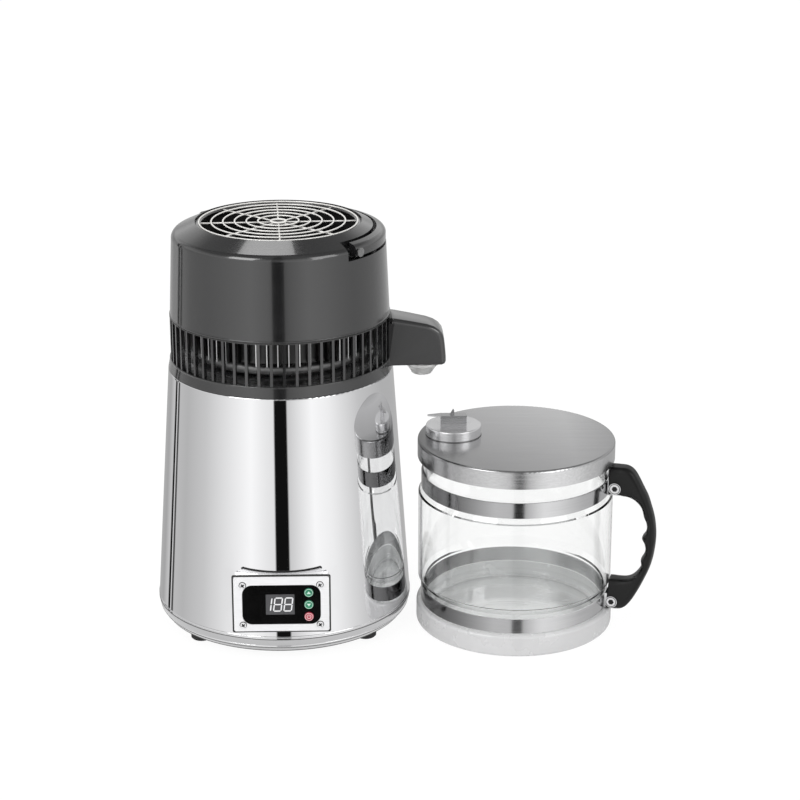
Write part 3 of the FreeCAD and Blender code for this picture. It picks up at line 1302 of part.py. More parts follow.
# Jug. All its pieces share the jug's axis.
jug = {"x": "jug_x", "y": "jug_y"}
lathe(
    "jug_base",
    ("0", "0"),
    ("jug_base_radius - 3", "0", "3"),
    ("jug_base_radius", "3"),
    ("jug_base_radius", "jug_base_top - 3", "3"),
    ("jug_base_radius - 3", "jug_base_top"),
    ("neck_radius + fit_gap", "jug_base_top"),
    ("neck_radius + fit_gap", "jug_base_floor"),
    ("0", "jug_base_floor"),
    **jug,
)
# The glass sits on the floor of its foot, narrows under both hoops and bulges between them.
glass_in, neck_in = "(glass_radius - glass_wall)", "(neck_radius - glass_wall)"
lathe(
    "jug_glass",
    ("0", "glass_low"),
    ("neck_radius - 7", "glass_low", "7"),
    ("neck_radius", "glass_low + 7"),
    ("neck_radius", "glass_belly_low - glass_slope"),
    ("glass_radius", "glass_belly_low"),
    ("glass_radius", "glass_belly_top"),
    ("neck_radius", "glass_belly_top + glass_slope"),
    ("neck_radius", "glass_top"),
    (neck_in, "glass_top"),
    (neck_in, "glass_belly_top + glass_slope"),
    (glass_in, "glass_belly_top"),
    (glass_in, "glass_belly_low"),
    (neck_in, "glass_belly_low - glass_slope"),
    (neck_in, "glass_low + 3 + 7", "7", -1),
    (f"{neck_in} - 7", "glass_low + 3"),
    ("0", "glass_low + 3"),
    **jug,
)
# Each hoop closes with two ears that clamp the handle's arm between them.
hoop_in = "(neck_radius + fit_gap)"
for name, low_edge, tall, bolt_z in (
    ("lower_hoop", "hoop_low", "hoop_low_tall", "(hoop_low + hoop_low_tall/2 + 2.5)"),
    ("upper_hoop", "hoop_high", "hoop_high_tall", "(hoop_high + hoop_high_tall/2 + 2.5)"),
):
    hoop = body(name, turn="grip_turn", **jug)
    turned(
        hoop,
        box_line(
            sketch(hoop, name + "_outline"), hoop_in, low_edge, f"{hoop_in} + hoop_wall",
            f"{low_edge} + {tall}",
        ),
        name + "_band",
    )
    for k, (y0, y1) in enumerate((("grip_arm/2 + 0.1", "grip_arm/2 + 0.1 + ear_wall"), ("-grip_arm/2 - 0.1 - ear_wall", "-grip_arm/2 - 0.1"))):
        ear = sketch(hoop, f"{name}_ear_{k + 1}", "XY_Plane", away=low_edge)
        box_line(ear, f"{hoop_in} + 0.2", y0, "ear_reach", y1)
        raised(hoop, ear, f"{name}_ear_plate_{k + 1}", tall)
    eye = sketch(hoop, name + "_eye")
    ring_line(eye, "bolt_out", f"{low_edge} + {tall}/2", "bolt_radius + pin_gap")
    cut(hoop, eye, name + "_eye_cut", "grip_thick*3", both=True)

# Jug's handle: one moulding, thick at the grip and thinner between the ears.
# Its outline is given from the jug's axis outward and up; the inside has three finger rests.
handle = body("jug_handle", turn="grip_turn", **jug)
side = sketch(handle, "handle_side")
arm_in = f"({hoop_in} + hoop_wall + fit_gap)"
loop(
    side,
    (arm_in, "20.5"),
    ("104", "20.5", "16"),
    ("112", "31", "75"),
    ("126.4", "61", "66"),
    ("131.5", "94", "66"),
    ("126.4", "128"),
    ("111.5", "156", "8"),
    ("105.5", "159.5"),
    (arm_in, "159.5"),
    (arm_in, "132.4"),
    ("104.5", "132.4", "20", -1),
    ("117.5", "123", "9", -1),
    ("119.5", "113", "12"),
    ("120", "96", "12"),
    ("119.3", "77", "10"),
    ("119", "63", "14", -1),
    ("106", "50", "60"),
    ("glass_radius + fit_gap", "49.5"),
    ("glass_radius + fit_gap", "glass_belly_low - 0.5"),
    (arm_in, "glass_belly_low - glass_slope - 0.5"),
)
raised(handle, side, "handle_block", "grip_thick", both=True)
waist = sketch(handle, "arm_waist", "XY_Plane", away="15")
for y0, y1 in (("grip_arm/2", "grip_thick/2 + 1"), ("-grip_thick/2 - 1", "-grip_arm/2")):
    box_line(waist, "80", y0, "ear_reach + 1.5", y1)
cut(handle, waist, "arm_cut", "150", back=True)
bores = sketch(handle, "handle_bores")
for low_edge, tall in (("hoop_low", "hoop_low_tall"), ("hoop_high", "hoop_high_tall")):
    ring_line(bores, "bolt_out", f"{low_edge} + {tall}/2", "bolt_radius + pin_gap")
cut(handle, bores, "handle_bore", "grip_thick*3", both=True)
bolts = body("handle_bolts", turn="grip_turn", **jug)
ear_face = "(grip_arm/2 + 0.1 + ear_wall)"
for name, low_edge, tall in (("low", "hoop_low", "hoop_low_tall"), ("high", "hoop_high", "hoop_high_tall")):
    spot = f"({low_edge} + {tall}/2)"
    rod = sketch(bolts, f"bolt_shank_{name}")
    ring_line(rod, "bolt_out", spot, "bolt_radius")
    raised(bolts, rod, f"bolt_rod_{name}", f"2*{ear_face} + 6", both=True)
    head = sketch(bolts, f"bolt_head_{name}", away=ear_face)
    ring_line(head, "bolt_out", spot, "bolt_head")
    raised(bolts, head, f"bolt_cap_{name}", "bolt_head_tall + 0.6")
    nut = sketch(bolts, f"bolt_nut_{name}", away=f"-{ear_face} - 2.6")
    ring_line(nut, "bolt_out", spot, "bolt_head - 1")
    raised(bolts, nut, f"bolt_nut_pad_{name}", "2.6")

# Jug's lid: a shallow pan upside down over the glass's rim, with a hole for its cap.
lid = body("jug_lid", **jug)
turned(
    lid,
    loop(
        sketch(lid, "lid_outline"),
        ("0", "lid_top - lid_wall"),
        ("lid_radius - lid_wall - 1.2", "lid_top - lid_wall", "1.2", -1),
        ("lid_radius - lid_wall", "lid_top - lid_wall - 1.2"),
        ("lid_radius - lid_wall", "lid_low"),
        ("lid_radius", "lid_low"),
        ("lid_radius", "lid_top - lid_round", "lid_round"),
        ("lid_radius - lid_round", "lid_top"),
        ("0", "lid_top"),
    ),
    "pan",
)
hole = sketch(lid, "cap_hole", "XY_Plane", away="lid_top + 1")
ring_line(
    hole, "cap_offset*cos(cap_turn)", "cap_offset*sin(cap_turn)", "cap_plug + fit_gap",
)
cut(lid, hole, "cap_cut", "lid_wall + 2")
# A ring of silicone in the lid's rim lies on the glass's shoulder side.
lathe(
    "lid_seal",
    ("neck_radius + fit_gap", "glass_top - 7"),
    ("lid_radius - lid_wall", "glass_top - 7"),
    ("lid_radius - lid_wall", "lid_top - lid_wall - 1.5"),
    ("lid_radius - lid_wall - 1.5", "lid_top - lid_wall"),
    ("neck_radius - glass_wall", "lid_top - lid_wall"),
    ("neck_radius - glass_wall", "glass_top + fit_gap"),
    ("neck_radius + fit_gap", "glass_top + fit_gap"),
    **jug,
)

# Filter cap: a polished pan with a plug in the lid's hole and drain holes in its floor.
cap_x = "jug_x + cap_offset*cos(cap_turn)"
cap_y = "jug_y + cap_offset*sin(cap_turn)"
cap = body("inlet_cap", x=cap_x, y=cap_y)
turned(
    cap,
    loop(
        sketch(cap, "cap_outline"),
        ("0", "lid_top + cap_tall - cap_wall"),
        ("cap_radius - cap_wall", "lid_top + cap_tall - cap_wall"),
        ("cap_radius - cap_wall", "lid_top + 2"),
        ("cap_plug - cap_wall", "lid_top + 2"),
        ("cap_plug - cap_wall", "lid_top - cap_plug_tall + cap_wall"),
        ("0", "lid_top - cap_plug_tall + cap_wall"),
        ("0", "lid_top - cap_plug_tall"),
        ("cap_plug", "lid_top - cap_plug_tall"),
        ("cap_plug", "lid_top"),
        ("cap_radius", "lid_top"),
        ("cap_radius", "lid_top + cap_tall - 1.2", "1.2"),
        ("cap_radius - 1.2", "lid_top + cap_tall"),
        ("0", "lid_top + cap_tall"),
    ),
    "cap_pan",
)
drain = sketch(cap, "drain_hole", "XY_Plane", away="lid_top - cap_plug_tall - 1")
ring_line(drain, "cap_plug*0.55", "0", "1.5")
drained = cut(cap, drain, "drain", "cap_wall + 2", back=True)
repeated(cap, [drained], "drains", "8")

# The cap's grip: an upright sheet with a folded top that runs out to a point.
tab = body("cap_grip", x=cap_x, y=cap_y)
tab_low = "(lid_top + cap_tall)"
upright = sketch(tab, "grip_sheet", "XY_Plane", away=tab_low)
box_line(upright, "-tab_wide/2", "-tab_wall/2", "tab_wide/2", "tab_wall/2")
raised(tab, upright, "grip_wall", "tab_tall")
roof = sketch(tab, "grip_top", "XY_Plane", away=f"{tab_low} + tab_tall - tab_wall")
loop(
    roof,
    ("tab_wide/2", "-tab_deep/2"),
    ("tab_wide/2", "tab_deep/2"),
    ("-tab_wide/2", "tab_deep/2"),
    ("-tab_wide/2 - tab_point", "0.8"),
    ("-tab_wide/2 - tab_point", "-0.8"),
    ("-tab_wide/2", "-tab_deep/2"),
)
raised(tab, roof, "grip_roof", "tab_wall")
fin = sketch(tab, "grip_fin")
loop(
    fin,
    ("-4", f"{tab_low} + tab_tall - 0.5"),
    ("0.5", f"{tab_low} + tab_tall - 0.5"),
    ("0.5", f"{tab_low} + tab_tall + 4"),
    ("-0.5", f"{tab_low} + tab_tall + 5.5"),
)
raised(tab, fin, "grip_point", "tab_wall", both=True)

doc.recompute()

pieces = [
    obj for obj in doc.Objects
    if obj.TypeId == "PartDesign::Body" or obj.TypeId == "Part::Feature"
    or (obj.TypeId.startswith("Part::") and not obj.InList and hasattr(obj, "Shape"))
]
failed = [obj.Name for obj in doc.Objects if "Invalid" in obj.State or "Error" in obj.State]
if failed:
    raise RuntimeError("features failed: " + ", ".join(failed))
for piece in pieces:
    if piece.Shape.isNull() or not piece.Shape.isValid() or not piece.Shape.Solids:
        raise RuntimeError("bad shape: " + piece.Label)

os.makedirs("parts", exist_ok=True)
for piece in pieces:
    piece.Shape.exportStep(f"parts/{piece.Label}.step")
whole = FreeCAD.BoundBox()
for piece in pieces:
    whole.add(piece.Shape.BoundBox)
print(len(pieces), "pieces", whole)
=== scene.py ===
import json
import math

import bmesh
import bpy
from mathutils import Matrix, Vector


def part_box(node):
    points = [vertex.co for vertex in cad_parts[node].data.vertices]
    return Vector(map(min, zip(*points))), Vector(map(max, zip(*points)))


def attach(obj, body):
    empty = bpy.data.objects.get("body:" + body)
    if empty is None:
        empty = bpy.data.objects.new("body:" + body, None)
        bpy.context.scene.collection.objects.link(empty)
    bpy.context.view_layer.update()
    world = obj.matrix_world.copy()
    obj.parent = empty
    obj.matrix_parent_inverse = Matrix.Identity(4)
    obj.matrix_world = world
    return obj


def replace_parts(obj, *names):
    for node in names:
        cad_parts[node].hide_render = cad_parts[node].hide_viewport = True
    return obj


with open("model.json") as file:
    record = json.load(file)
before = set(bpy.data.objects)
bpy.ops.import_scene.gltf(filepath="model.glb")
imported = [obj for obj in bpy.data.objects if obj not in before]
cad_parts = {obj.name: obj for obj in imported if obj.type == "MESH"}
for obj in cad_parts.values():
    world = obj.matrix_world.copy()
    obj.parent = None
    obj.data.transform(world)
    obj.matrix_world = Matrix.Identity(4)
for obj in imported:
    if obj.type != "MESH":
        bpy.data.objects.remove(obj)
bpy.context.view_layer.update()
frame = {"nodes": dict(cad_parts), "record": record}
scene = bpy.context.scene
scene.view_settings.view_transform = "Standard"
MM = 0.001
FULL_TURN = 2 * math.pi

# The still's and the jug's upright axes in millimetres, and the way that the jug's handle points.
STILL_AXIS = (-113.3, 1.4)
JUG_AXIS = (101.8, -22.2)
GRIP_WAY = math.radians(-15.6)


# Camera
LENS_LENGTH, SENSOR_WIDE = 100.16, 36.0
CAMERA_PLACE = (-58.52, -1939.06, 869.67)
CAMERA_TURN = (71.17, 0.0, -1.6)


def add_camera():
    """The photograph's camera: lens, sensor and place in millimetres, turn in degrees."""
    data = bpy.data.cameras.new("view")
    data.lens, data.sensor_width = LENS_LENGTH, SENSOR_WIDE
    data.clip_start, data.clip_end = 0.05, 50.0
    made = bpy.data.objects.new("view", data)
    made.location = Vector(CAMERA_PLACE) * MM
    made.rotation_euler = [math.radians(a) for a in CAMERA_TURN]
    scene.collection.objects.link(made)
    scene.camera = made


add_camera()


# Node helpers
NOISE_ROUGH = 0.55
# Most of a noise's values lie between these two.
NOISE_LOW, NOISE_HIGH = 0.25, 0.75


class Nodes:
    """Short words for building a node tree."""

    def __init__(self, tree, empty=True):
        self.tree = tree
        if empty:
            tree.nodes.clear()

    def add(self, kind, operation=None):
        """A new node, set to an operation where it has one."""
        node = self.tree.nodes.new(kind)
        if operation:
            node.operation = operation
        return node

    def put(self, socket, value):
        """Links an output to the socket, or gives the socket a plain value."""
        if isinstance(value, bpy.types.NodeSocket):
            self.tree.links.new(value, socket)
        else:
            socket.default_value = value

    def math(self, operation, a, b):
        """Arithmetic on two numbers or outputs."""
        node = self.add("ShaderNodeMath", operation)
        self.put(node.inputs[0], a)
        self.put(node.inputs[1], b)
        return node.outputs[0]

    def ramp(self, factor, stops, smooth=True):
        """A ramp of (place, tone) stops, where a tone is a grey level or a colour."""
        node = self.add("ShaderNodeValToRGB")
        node.color_ramp.interpolation = "EASE" if smooth else "LINEAR"
        marks = node.color_ramp.elements
        while len(marks) > 1:
            marks.remove(marks[-1])
        for k, (place, tone) in enumerate(stops):
            mark = marks[0] if k == 0 else marks.new(place)
            mark.position = place
            colour = tone if isinstance(tone, tuple) else grey(tone)
            mark.color = (*colour, 1.0)
        self.put(node.inputs[0], factor)
        return node.outputs[0]

    def mix_shader(self, factor, a, b):
        """Shader a where the factor is 0, shader b where it is 1."""
        node = self.add("ShaderNodeMixShader")
        for k, value in enumerate((factor, a, b)):
            self.put(node.inputs[k], value)
        return node.outputs[0]

    def noise(self, scale, stretch=(1, 1, 1), detail=4.0):
        """Noise over the piece's own coordinates, in features per metre."""
        where = self.add("ShaderNodeTexCoord")
        shape = self.add("ShaderNodeMapping")
        self.put(shape.inputs["Scale"], stretch)
        self.put(shape.inputs["Vector"], where.outputs["Object"])
        node = self.add("ShaderNodeTexNoise")
        self.put(node.inputs["Vector"], shape.outputs["Vector"])
        self.put(node.inputs["Scale"], scale)
        self.put(node.inputs["Detail"], detail)
        self.put(node.inputs["Roughness"], NOISE_ROUGH)
        return node.outputs[0]

    def between(self, value, low, high, at_low, at_high):
        """Maps low to at_low and high to at_high, in a straight line between them and level beyond."""
        node = self.add("ShaderNodeMapRange")
        self.put(node.inputs["Value"], value)
        for key, number in zip(("From Min", "From Max", "To Min", "To Max"), (low, high, at_low, at_high)):
            self.put(node.inputs[key], number)
        return node.outputs[0]

    def relief(self, height, strength, depth):
        """The normal of a surface with a height on it, its depth in metres."""
        node = self.add("ShaderNodeBump")
        self.put(node.inputs["Strength"], strength)
        self.put(node.inputs["Distance"], depth)
        self.put(node.inputs["Height"], height)
        return node.outputs["Normal"]

    def backdrop(self, colour, strength):
        """A world colour of its own strength."""
        node = self.add("ShaderNodeBackground")
        self.put(node.inputs["Color"], colour)
        self.put(node.inputs["Strength"], strength)
        return node.outputs[0]


def grey(level, tint=0.0):
    """A grey that leans to blue by the tint, or to yellow where the tint is negative."""
    return (level, level, level * (1 + tint))


# Materials
made_materials = {}
# A finish's relief has this many times as many features per metre as its tone.
FINER = 8
RELIEF_DETAIL = 3.0


def new_material(name):
    """An empty material under its name. Gives its nodes and its output's surface socket."""
    material = bpy.data.materials.new(name)
    material.use_nodes = True
    made_materials[name] = material
    nodes = Nodes(material.node_tree)
    return nodes, nodes.add("ShaderNodeOutputMaterial").inputs["Surface"]


def finish_of(name, colour, rough, metal=0.0, *, tone, spread, scale, stretch=(1, 1, 1),
              bump=0.0, bump_scale=None, depth=0.0001, **sockets):
    """A procedural finish.

    Its tone wanders with a noise by the share tone, and its roughness by spread. A finer noise gives a
    relief of strength bump. Scales are in features per metre and depth is in metres.
    """
    nodes, surface = new_material(name)
    shader = nodes.add("ShaderNodeBsdfPrincipled")
    wander = nodes.noise(scale, stretch)
    low = tuple(c * (1 - tone) for c in colour)
    high = tuple(min(1.0, c * (1 + tone)) for c in colour)
    nodes.put(shader.inputs["Base Color"], nodes.ramp(wander, ((NOISE_LOW, low), (NOISE_HIGH, high))))
    smoothest, roughest = max(0.0, rough - spread), min(1.0, rough + spread)
    nodes.put(
        shader.inputs["Roughness"],
        nodes.between(wander, NOISE_LOW, NOISE_HIGH, smoothest, roughest),
    )
    nodes.put(shader.inputs["Metallic"], metal)
    for key, value in sockets.items():
        nodes.put(shader.inputs[key.replace("_", " ")], value)
    if bump:
        height = nodes.noise(bump_scale or scale * FINER, stretch, RELIEF_DETAIL)
        nodes.put(shader.inputs["Normal"], nodes.relief(height, bump, depth))
    nodes.put(surface, shader.outputs[0])


def scale_by_painted_light(name, share_of):
    """Paints light and shade into a finish: multiplies its own colour by a share that share_of works out
    from the place on the piece.
    """
    nodes = Nodes(made_materials[name].node_tree, empty=False)
    shader = next(n for n in nodes.tree.nodes if n.type == "BSDF_PRINCIPLED")
    base = shader.inputs["Base Color"].links[0].from_socket
    scaled = nodes.add("ShaderNodeVectorMath", "SCALE")
    nodes.put(scaled.inputs[0], base)
    nodes.put(scaled.inputs["Scale"], share_of(nodes, nodes.add("ShaderNodeTexCoord").outputs["Object"]))
    nodes.put(shader.inputs["Base Color"], scaled.outputs["Vector"])


def paint_light_across(name, way, low, high, at_low, at_high):
    """Paints light and shade into a finish's colour across the piece along way, between two places in
    metres.
    """
    def share_of(nodes, place):
        dot = nodes.add("ShaderNodeVectorMath", "DOT_PRODUCT")
        nodes.put(dot.inputs[0], place)
        nodes.put(dot.inputs[1], way)
        return nodes.between(dot.outputs["Value"], low, high, at_low, at_high)

    scale_by_painted_light(name, share_of)


def paint_light_outwards(name, axis, near, far, at_near, at_far):
    """Paints light and shade into a finish's colour by the distance from an upright axis, between two radii
    in metres.
    """
    def share_of(nodes, place):
        shift = nodes.add("ShaderNodeVectorMath", "SUBTRACT")
        nodes.put(shift.inputs[0], place)
        nodes.put(shift.inputs[1], (axis[0] * MM, axis[1] * MM, 0.0))
        flat = nodes.add("ShaderNodeVectorMath", "MULTIPLY")
        nodes.put(flat.inputs[0], shift.outputs["Vector"])
        nodes.put(flat.inputs[1], (1.0, 1.0, 0.0))
        away = nodes.add("ShaderNodeVectorMath", "LENGTH")
        nodes.put(away.inputs[0], flat.outputs["Vector"])
        return nodes.between(away.outputs["Value"], near, far, at_near, at_far)

    scale_by_painted_light(name, share_of)


GLASS_COLOUR, GLASS_SHADE, GLASS_INDEX = (0.995, 0.998, 0.996, 1), (0.97, 0.975, 0.972, 1), 1.47


def clear_glass(name):
    """Clear glass with faint waves. Shadow rays and diffuse light pass straight through it."""
    nodes, surface = new_material(name)
    shader = nodes.add("ShaderNodeBsdfPrincipled")
    for key, value in (
        ("Base Color", GLASS_COLOUR), ("Roughness", 0.0), ("IOR", GLASS_INDEX),
        ("Transmission Weight", 1.0),
    ):
        nodes.put(shader.inputs[key], value)
    waves = nodes.noise(scale=14.0, stretch=(1, 1, 0.5), detail=2.0)
    nodes.put(shader.inputs["Normal"], nodes.relief(waves, strength=0.12, depth=0.0004))
    through = nodes.add("ShaderNodeBsdfTransparent")
    nodes.put(through.inputs["Color"], GLASS_SHADE)
    path = nodes.add("ShaderNodeLightPath")
    straight = nodes.math("MAXIMUM", path.outputs["Is Shadow Ray"], path.outputs["Is Diffuse Ray"])
    nodes.put(surface, nodes.mix_shader(straight, shader.outputs[0], through.outputs[0]))


# The still body's finishes
finish_of("polished_steel", grey(0.80, 0.012), rough=0.03, metal=1.0, tone=0.012, spread=0.01, scale=9.0,
          stretch=(1, 1, 0.4), bump=0.05, bump_scale=16.0, depth=0.0006)
finish_of("skirt_steel", grey(0.58, 0.012), rough=0.11, metal=1.0, tone=0.04, spread=0.03, scale=20.0,
          stretch=(1, 1, 3), bump=0.05, bump_scale=60.0, depth=0.0002)
finish_of("inner_steel", grey(0.62, 0.01), rough=0.26, metal=1.0, tone=0.05, spread=0.06, scale=600.0,
          stretch=(0.05, 0.05, 1), bump=0.08)
finish_of("plain_steel", grey(0.42, 0.01), rough=0.42, metal=1.0, tone=0.08, spread=0.08, scale=120.0,
          bump=0.05)
# seam_grey gives the dark joint line under the skirt's hem, and the painted shade lines under its bead, at
# its lower edge and round the filter cap.
finish_of("seam_grey", grey(0.16), rough=0.5, metal=0.6, tone=0.15, spread=0.05, scale=300.0, bump=0.1)
finish_of("rubber_feet", grey(0.012), rough=0.72, tone=0.25, spread=0.08, scale=400.0, bump=0.25)
finish_of("heater_aluminium", grey(0.55), rough=0.5, metal=1.0, tone=0.1, spread=0.1, scale=260.0,
          bump=0.3)
finish_of("thermostat_metal", grey(0.6), rough=0.35, metal=1.0, tone=0.06, spread=0.06, scale=200.0,
          bump=0.05)
finish_of("inlet_black", grey(0.015), rough=0.4, tone=0.15, spread=0.06, scale=400.0, bump=0.15)

# The panel's finishes
finish_of("bezel_steel", grey(0.94, 0.012), rough=0.34, metal=0.3, tone=0.03, spread=0.04, scale=1500.0,
          stretch=(0.03, 1, 1), bump=0.06, depth=0.00004)
finish_of("window_black", grey(0.004), rough=0.06, tone=0.2, spread=0.02, scale=80.0,
          Coat_Weight=0.6, Coat_Roughness=0.03)
finish_of("tray_black", grey(0.02), rough=0.55, tone=0.15, spread=0.05, scale=300.0, bump=0.15)
finish_of("board_green", (0.012, 0.11, 0.045), rough=0.35, tone=0.2, spread=0.08, scale=220.0, bump=0.1)
finish_of("display_dark", grey(0.085, 0.05), rough=0.2, tone=0.22, spread=0.05, scale=2400.0, bump=0.1,
          Coat_Weight=0.5, Coat_Roughness=0.05)
finish_of("display_light", grey(0.74), rough=0.4, tone=0.05, spread=0.05, scale=300.0,
          Emission_Color=(0.9, 0.93, 1.0, 1.0), Emission_Strength=0.12)
finish_of("key_green", (0.018, 0.22, 0.115), rough=0.3, tone=0.25, spread=0.06, scale=500.0, bump=0.1,
          Coat_Weight=0.3, Coat_Roughness=0.15)
finish_of("key_red", (0.42, 0.022, 0.05), rough=0.3, tone=0.25, spread=0.06, scale=500.0, bump=0.1,
          Coat_Weight=0.3, Coat_Roughness=0.15)
finish_of("key_mark", (0.62, 0.80, 0.70), rough=0.4, tone=0.05, spread=0.05, scale=400.0)
finish_of("power_mark", (0.92, 0.72, 0.73), rough=0.4, tone=0.05, spread=0.05, scale=400.0)

# The head's finishes
finish_of("head_plastic", grey(0.011, 0.04), rough=0.17, tone=0.1, spread=0.03, scale=30.0,
          bump=0.03, bump_scale=60.0, depth=0.0004,
          Specular_IOR_Level=0.6, Coat_Weight=1.0, Coat_Roughness=0.06)
finish_of("grille_wire", (0.92, 0.91, 0.88), rough=0.34, metal=0.2, tone=0.05, spread=0.05, scale=300.0,
          bump=0.05)
finish_of("fan_black", grey(0.006), rough=0.75, tone=0.15, spread=0.06, scale=200.0, bump=0.08,
          Specular_IOR_Level=0.12)
finish_of("motor_metal", grey(0.16), rough=0.6, metal=1.0, tone=0.08, spread=0.08, scale=200.0, bump=0.05)
finish_of("seal_silicone", grey(0.62, -0.03), rough=0.45, tone=0.05, spread=0.05, scale=150.0, bump=0.05,
          Transmission_Weight=0.25)
finish_of("fin_aluminium", grey(0.60), rough=0.34, metal=1.0, tone=0.1, spread=0.1, scale=240.0,
          stretch=(1, 1, 0.2), bump=0.1)
# The coil's steel is painted dark: painted shade inside the head.
finish_of("coil_steel_painted_dark", grey(0.20), rough=0.45, metal=1.0, tone=0.1, spread=0.08, scale=240.0, bump=0.05)
finish_of("nozzle_white", grey(0.93, -0.01), rough=0.35, tone=0.03, spread=0.05, scale=90.0, bump=0.05,
          Transmission_Weight=0.7)
finish_of("pivot_metal", grey(0.30), rough=0.25, metal=0.9, tone=0.1, spread=0.08, scale=300.0, bump=0.1)

# The jug's finishes
finish_of("jug_foot", grey(0.95, 0.008), rough=0.26, tone=0.04, spread=0.06, scale=24.0, bump=0.05,
          bump_scale=40.0, depth=0.0004, Coat_Weight=0.5, Coat_Roughness=0.08, Transmission_Weight=0.12)
clear_glass("jug_glass")
finish_of("hoop_steel", grey(0.62, 0.012), rough=0.13, metal=1.0, tone=0.03, spread=0.04, scale=900.0,
          stretch=(0.02, 0.02, 1), bump=0.05, depth=0.00005)
finish_of("handle_plastic", grey(0.004), rough=0.36, tone=0.25, spread=0.08, scale=260.0, bump=0.12,
          Specular_IOR_Level=0.3)
finish_of("lid_steel", grey(0.64, 0.008), rough=0.22, metal=1.0, tone=0.07, spread=0.05, scale=700.0,
          stretch=(0.02, 1, 1), bump=0.12, depth=0.00006)
finish_of("cap_steel", grey(0.74, 0.012), rough=0.24, metal=0.8, tone=0.03, spread=0.04, scale=700.0,
          stretch=(0.02, 1, 1), bump=0.05, depth=0.00005)
finish_of("grip_steel", grey(0.46, 0.012), rough=0.28, metal=0.85, tone=0.05, spread=0.05, scale=700.0,
          stretch=(0.02, 1, 1), bump=0.05, depth=0.00005)

# The fins inside the vent ring are painted dark as painted shade, and painted brighter at their outer edges
# as a painted highlight.
paint_light_outwards("fin_aluminium", STILL_AXIS, near=0.0855, far=0.0905, at_near=0.10, at_far=1.25)
# Painted light: the foot's outer wall is painted darker than its floor, which keeps the floor seen through
# the glass as bright as the lit wall.
paint_light_outwards("jug_foot", JUG_AXIS, near=0.086, far=0.090, at_near=1.0, at_far=0.74)
# The hoops are painted darker towards the still, as painted shade.
TO_THE_RIGHT, UP = (1.0, 0.0, 0.0), (0.0, 0.0, 1.0)
paint_light_across("hoop_steel", TO_THE_RIGHT, low=0.03, high=0.115, at_low=0.25, at_high=1.0)
# Painted light and shade on the lid: it is painted darker to the left and to the front, and once more at
# its two ends, and its side is painted brighter as a painted highlight.
paint_light_across("lid_steel", (0.8, 0.6, 0.0), low=0.0, high=0.15, at_low=0.60, at_high=1.08)
paint_light_across("lid_steel", UP, low=0.1762, high=0.1778, at_low=1.45, at_high=1.0)
paint_light_across("lid_steel", TO_THE_RIGHT, low=0.012, high=0.05, at_low=0.45, at_high=1.0)
paint_light_across("lid_steel", TO_THE_RIGHT, low=0.15, high=0.19, at_low=1.0, at_high=0.66)

# These nodes keep their slot in the record and get a finish of their own.
OWN_FINISH = {"condenser_coil": "coil_steel_painted_dark", "cap_grip": "grip_steel", "base_skirt": "skirt_steel"}
for part in frame["record"]["subparts"]:
    held = frame["nodes"][part["node"]].data.materials
    finish = made_materials[OWN_FINISH.get(part["node"], part["material_slot"])]
    if len(held) == 0:
        held.append(finish)
    for k in range(len(held)):
        held[k] = finish


# Shaped pieces. Their lengths are in millimetres, and points closer than this many metres are one.
WELD_WITHIN = 1e-7


def piece_from(name, faces_of, material, body):
    """A new piece from a function that fills a bmesh."""
    shape = bmesh.new()
    faces_of(shape)
    bmesh.ops.remove_doubles(shape, verts=shape.verts, dist=WELD_WITHIN)
    bmesh.ops.recalc_face_normals(shape, faces=shape.faces)
    data = bpy.data.meshes.new(name)
    shape.to_mesh(data)
    shape.free()
    data.materials.append(made_materials[material])
    made = bpy.data.objects.new(name, data)
    scene.collection.objects.link(made)
    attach(made, body)
    return made


def middle_of(node):
    """The middle of a node's box and the box's two corners."""
    low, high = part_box(node)
    return (low + high) / (2 * MM), low / MM, high / MM


def turns_of(count):
    """The angles of count even steps round a full turn."""
    return [FULL_TURN * k / count for k in range(count)]


def circle(centre, radius, count):
    """The points of a flat circle about centre."""
    return [(centre[0] + radius * math.cos(t), centre[1] + radius * math.sin(t)) for t in turns_of(count)]


def raised_shape(shape, outline, front, thick, at):
    """A flat outline of (x, z) points about at, with its face at y = front."""
    face = [shape.verts.new(Vector((at[0] + x, front, at[1] + z)) * MM) for x, z in outline]
    back = [shape.verts.new(v.co + Vector((0, thick * MM, 0))) for v in face]
    shape.faces.new(face)
    shape.faces.new(back[::-1])
    for k in range(len(face)):
        j = (k + 1) % len(face)
        shape.faces.new((face[k], back[k], back[j], face[j]))


def band(shape, inner, outer, front, thick):
    """A flat frame between two outlines with as many (x, z) points, with its face at y = front."""
    rows = []
    for y in (front, front + thick):
        for line in (inner, outer):
            rows.append([shape.verts.new(Vector((x, y, z)) * MM) for x, z in line])
    near_in, near_out, far_in, far_out = rows
    for k in range(len(inner)):
        j = (k + 1) % len(inner)
        shape.faces.new((near_in[k], near_in[j], near_out[j], near_out[k]))
        shape.faces.new((far_in[k], far_out[k], far_out[j], far_in[j]))
        shape.faces.new((near_out[k], near_out[j], far_out[j], far_out[k]))
        shape.faces.new((near_in[k], far_in[k], far_in[j], near_in[j]))


def loft(shape, rings, cap=True):
    """Smooth quads between rings of points, with flat ends where they are capped."""
    rows = [[shape.verts.new(Vector(p) * MM) for p in ring] for ring in rings]
    for a, b in zip(rows, rows[1:]):
        for k in range(len(a)):
            j = (k + 1) % len(a)
            shape.faces.new((a[k], a[j], b[j], b[k])).smooth = True
    if cap:
        shape.faces.new(rows[0][::-1])
        shape.faces.new(rows[-1])


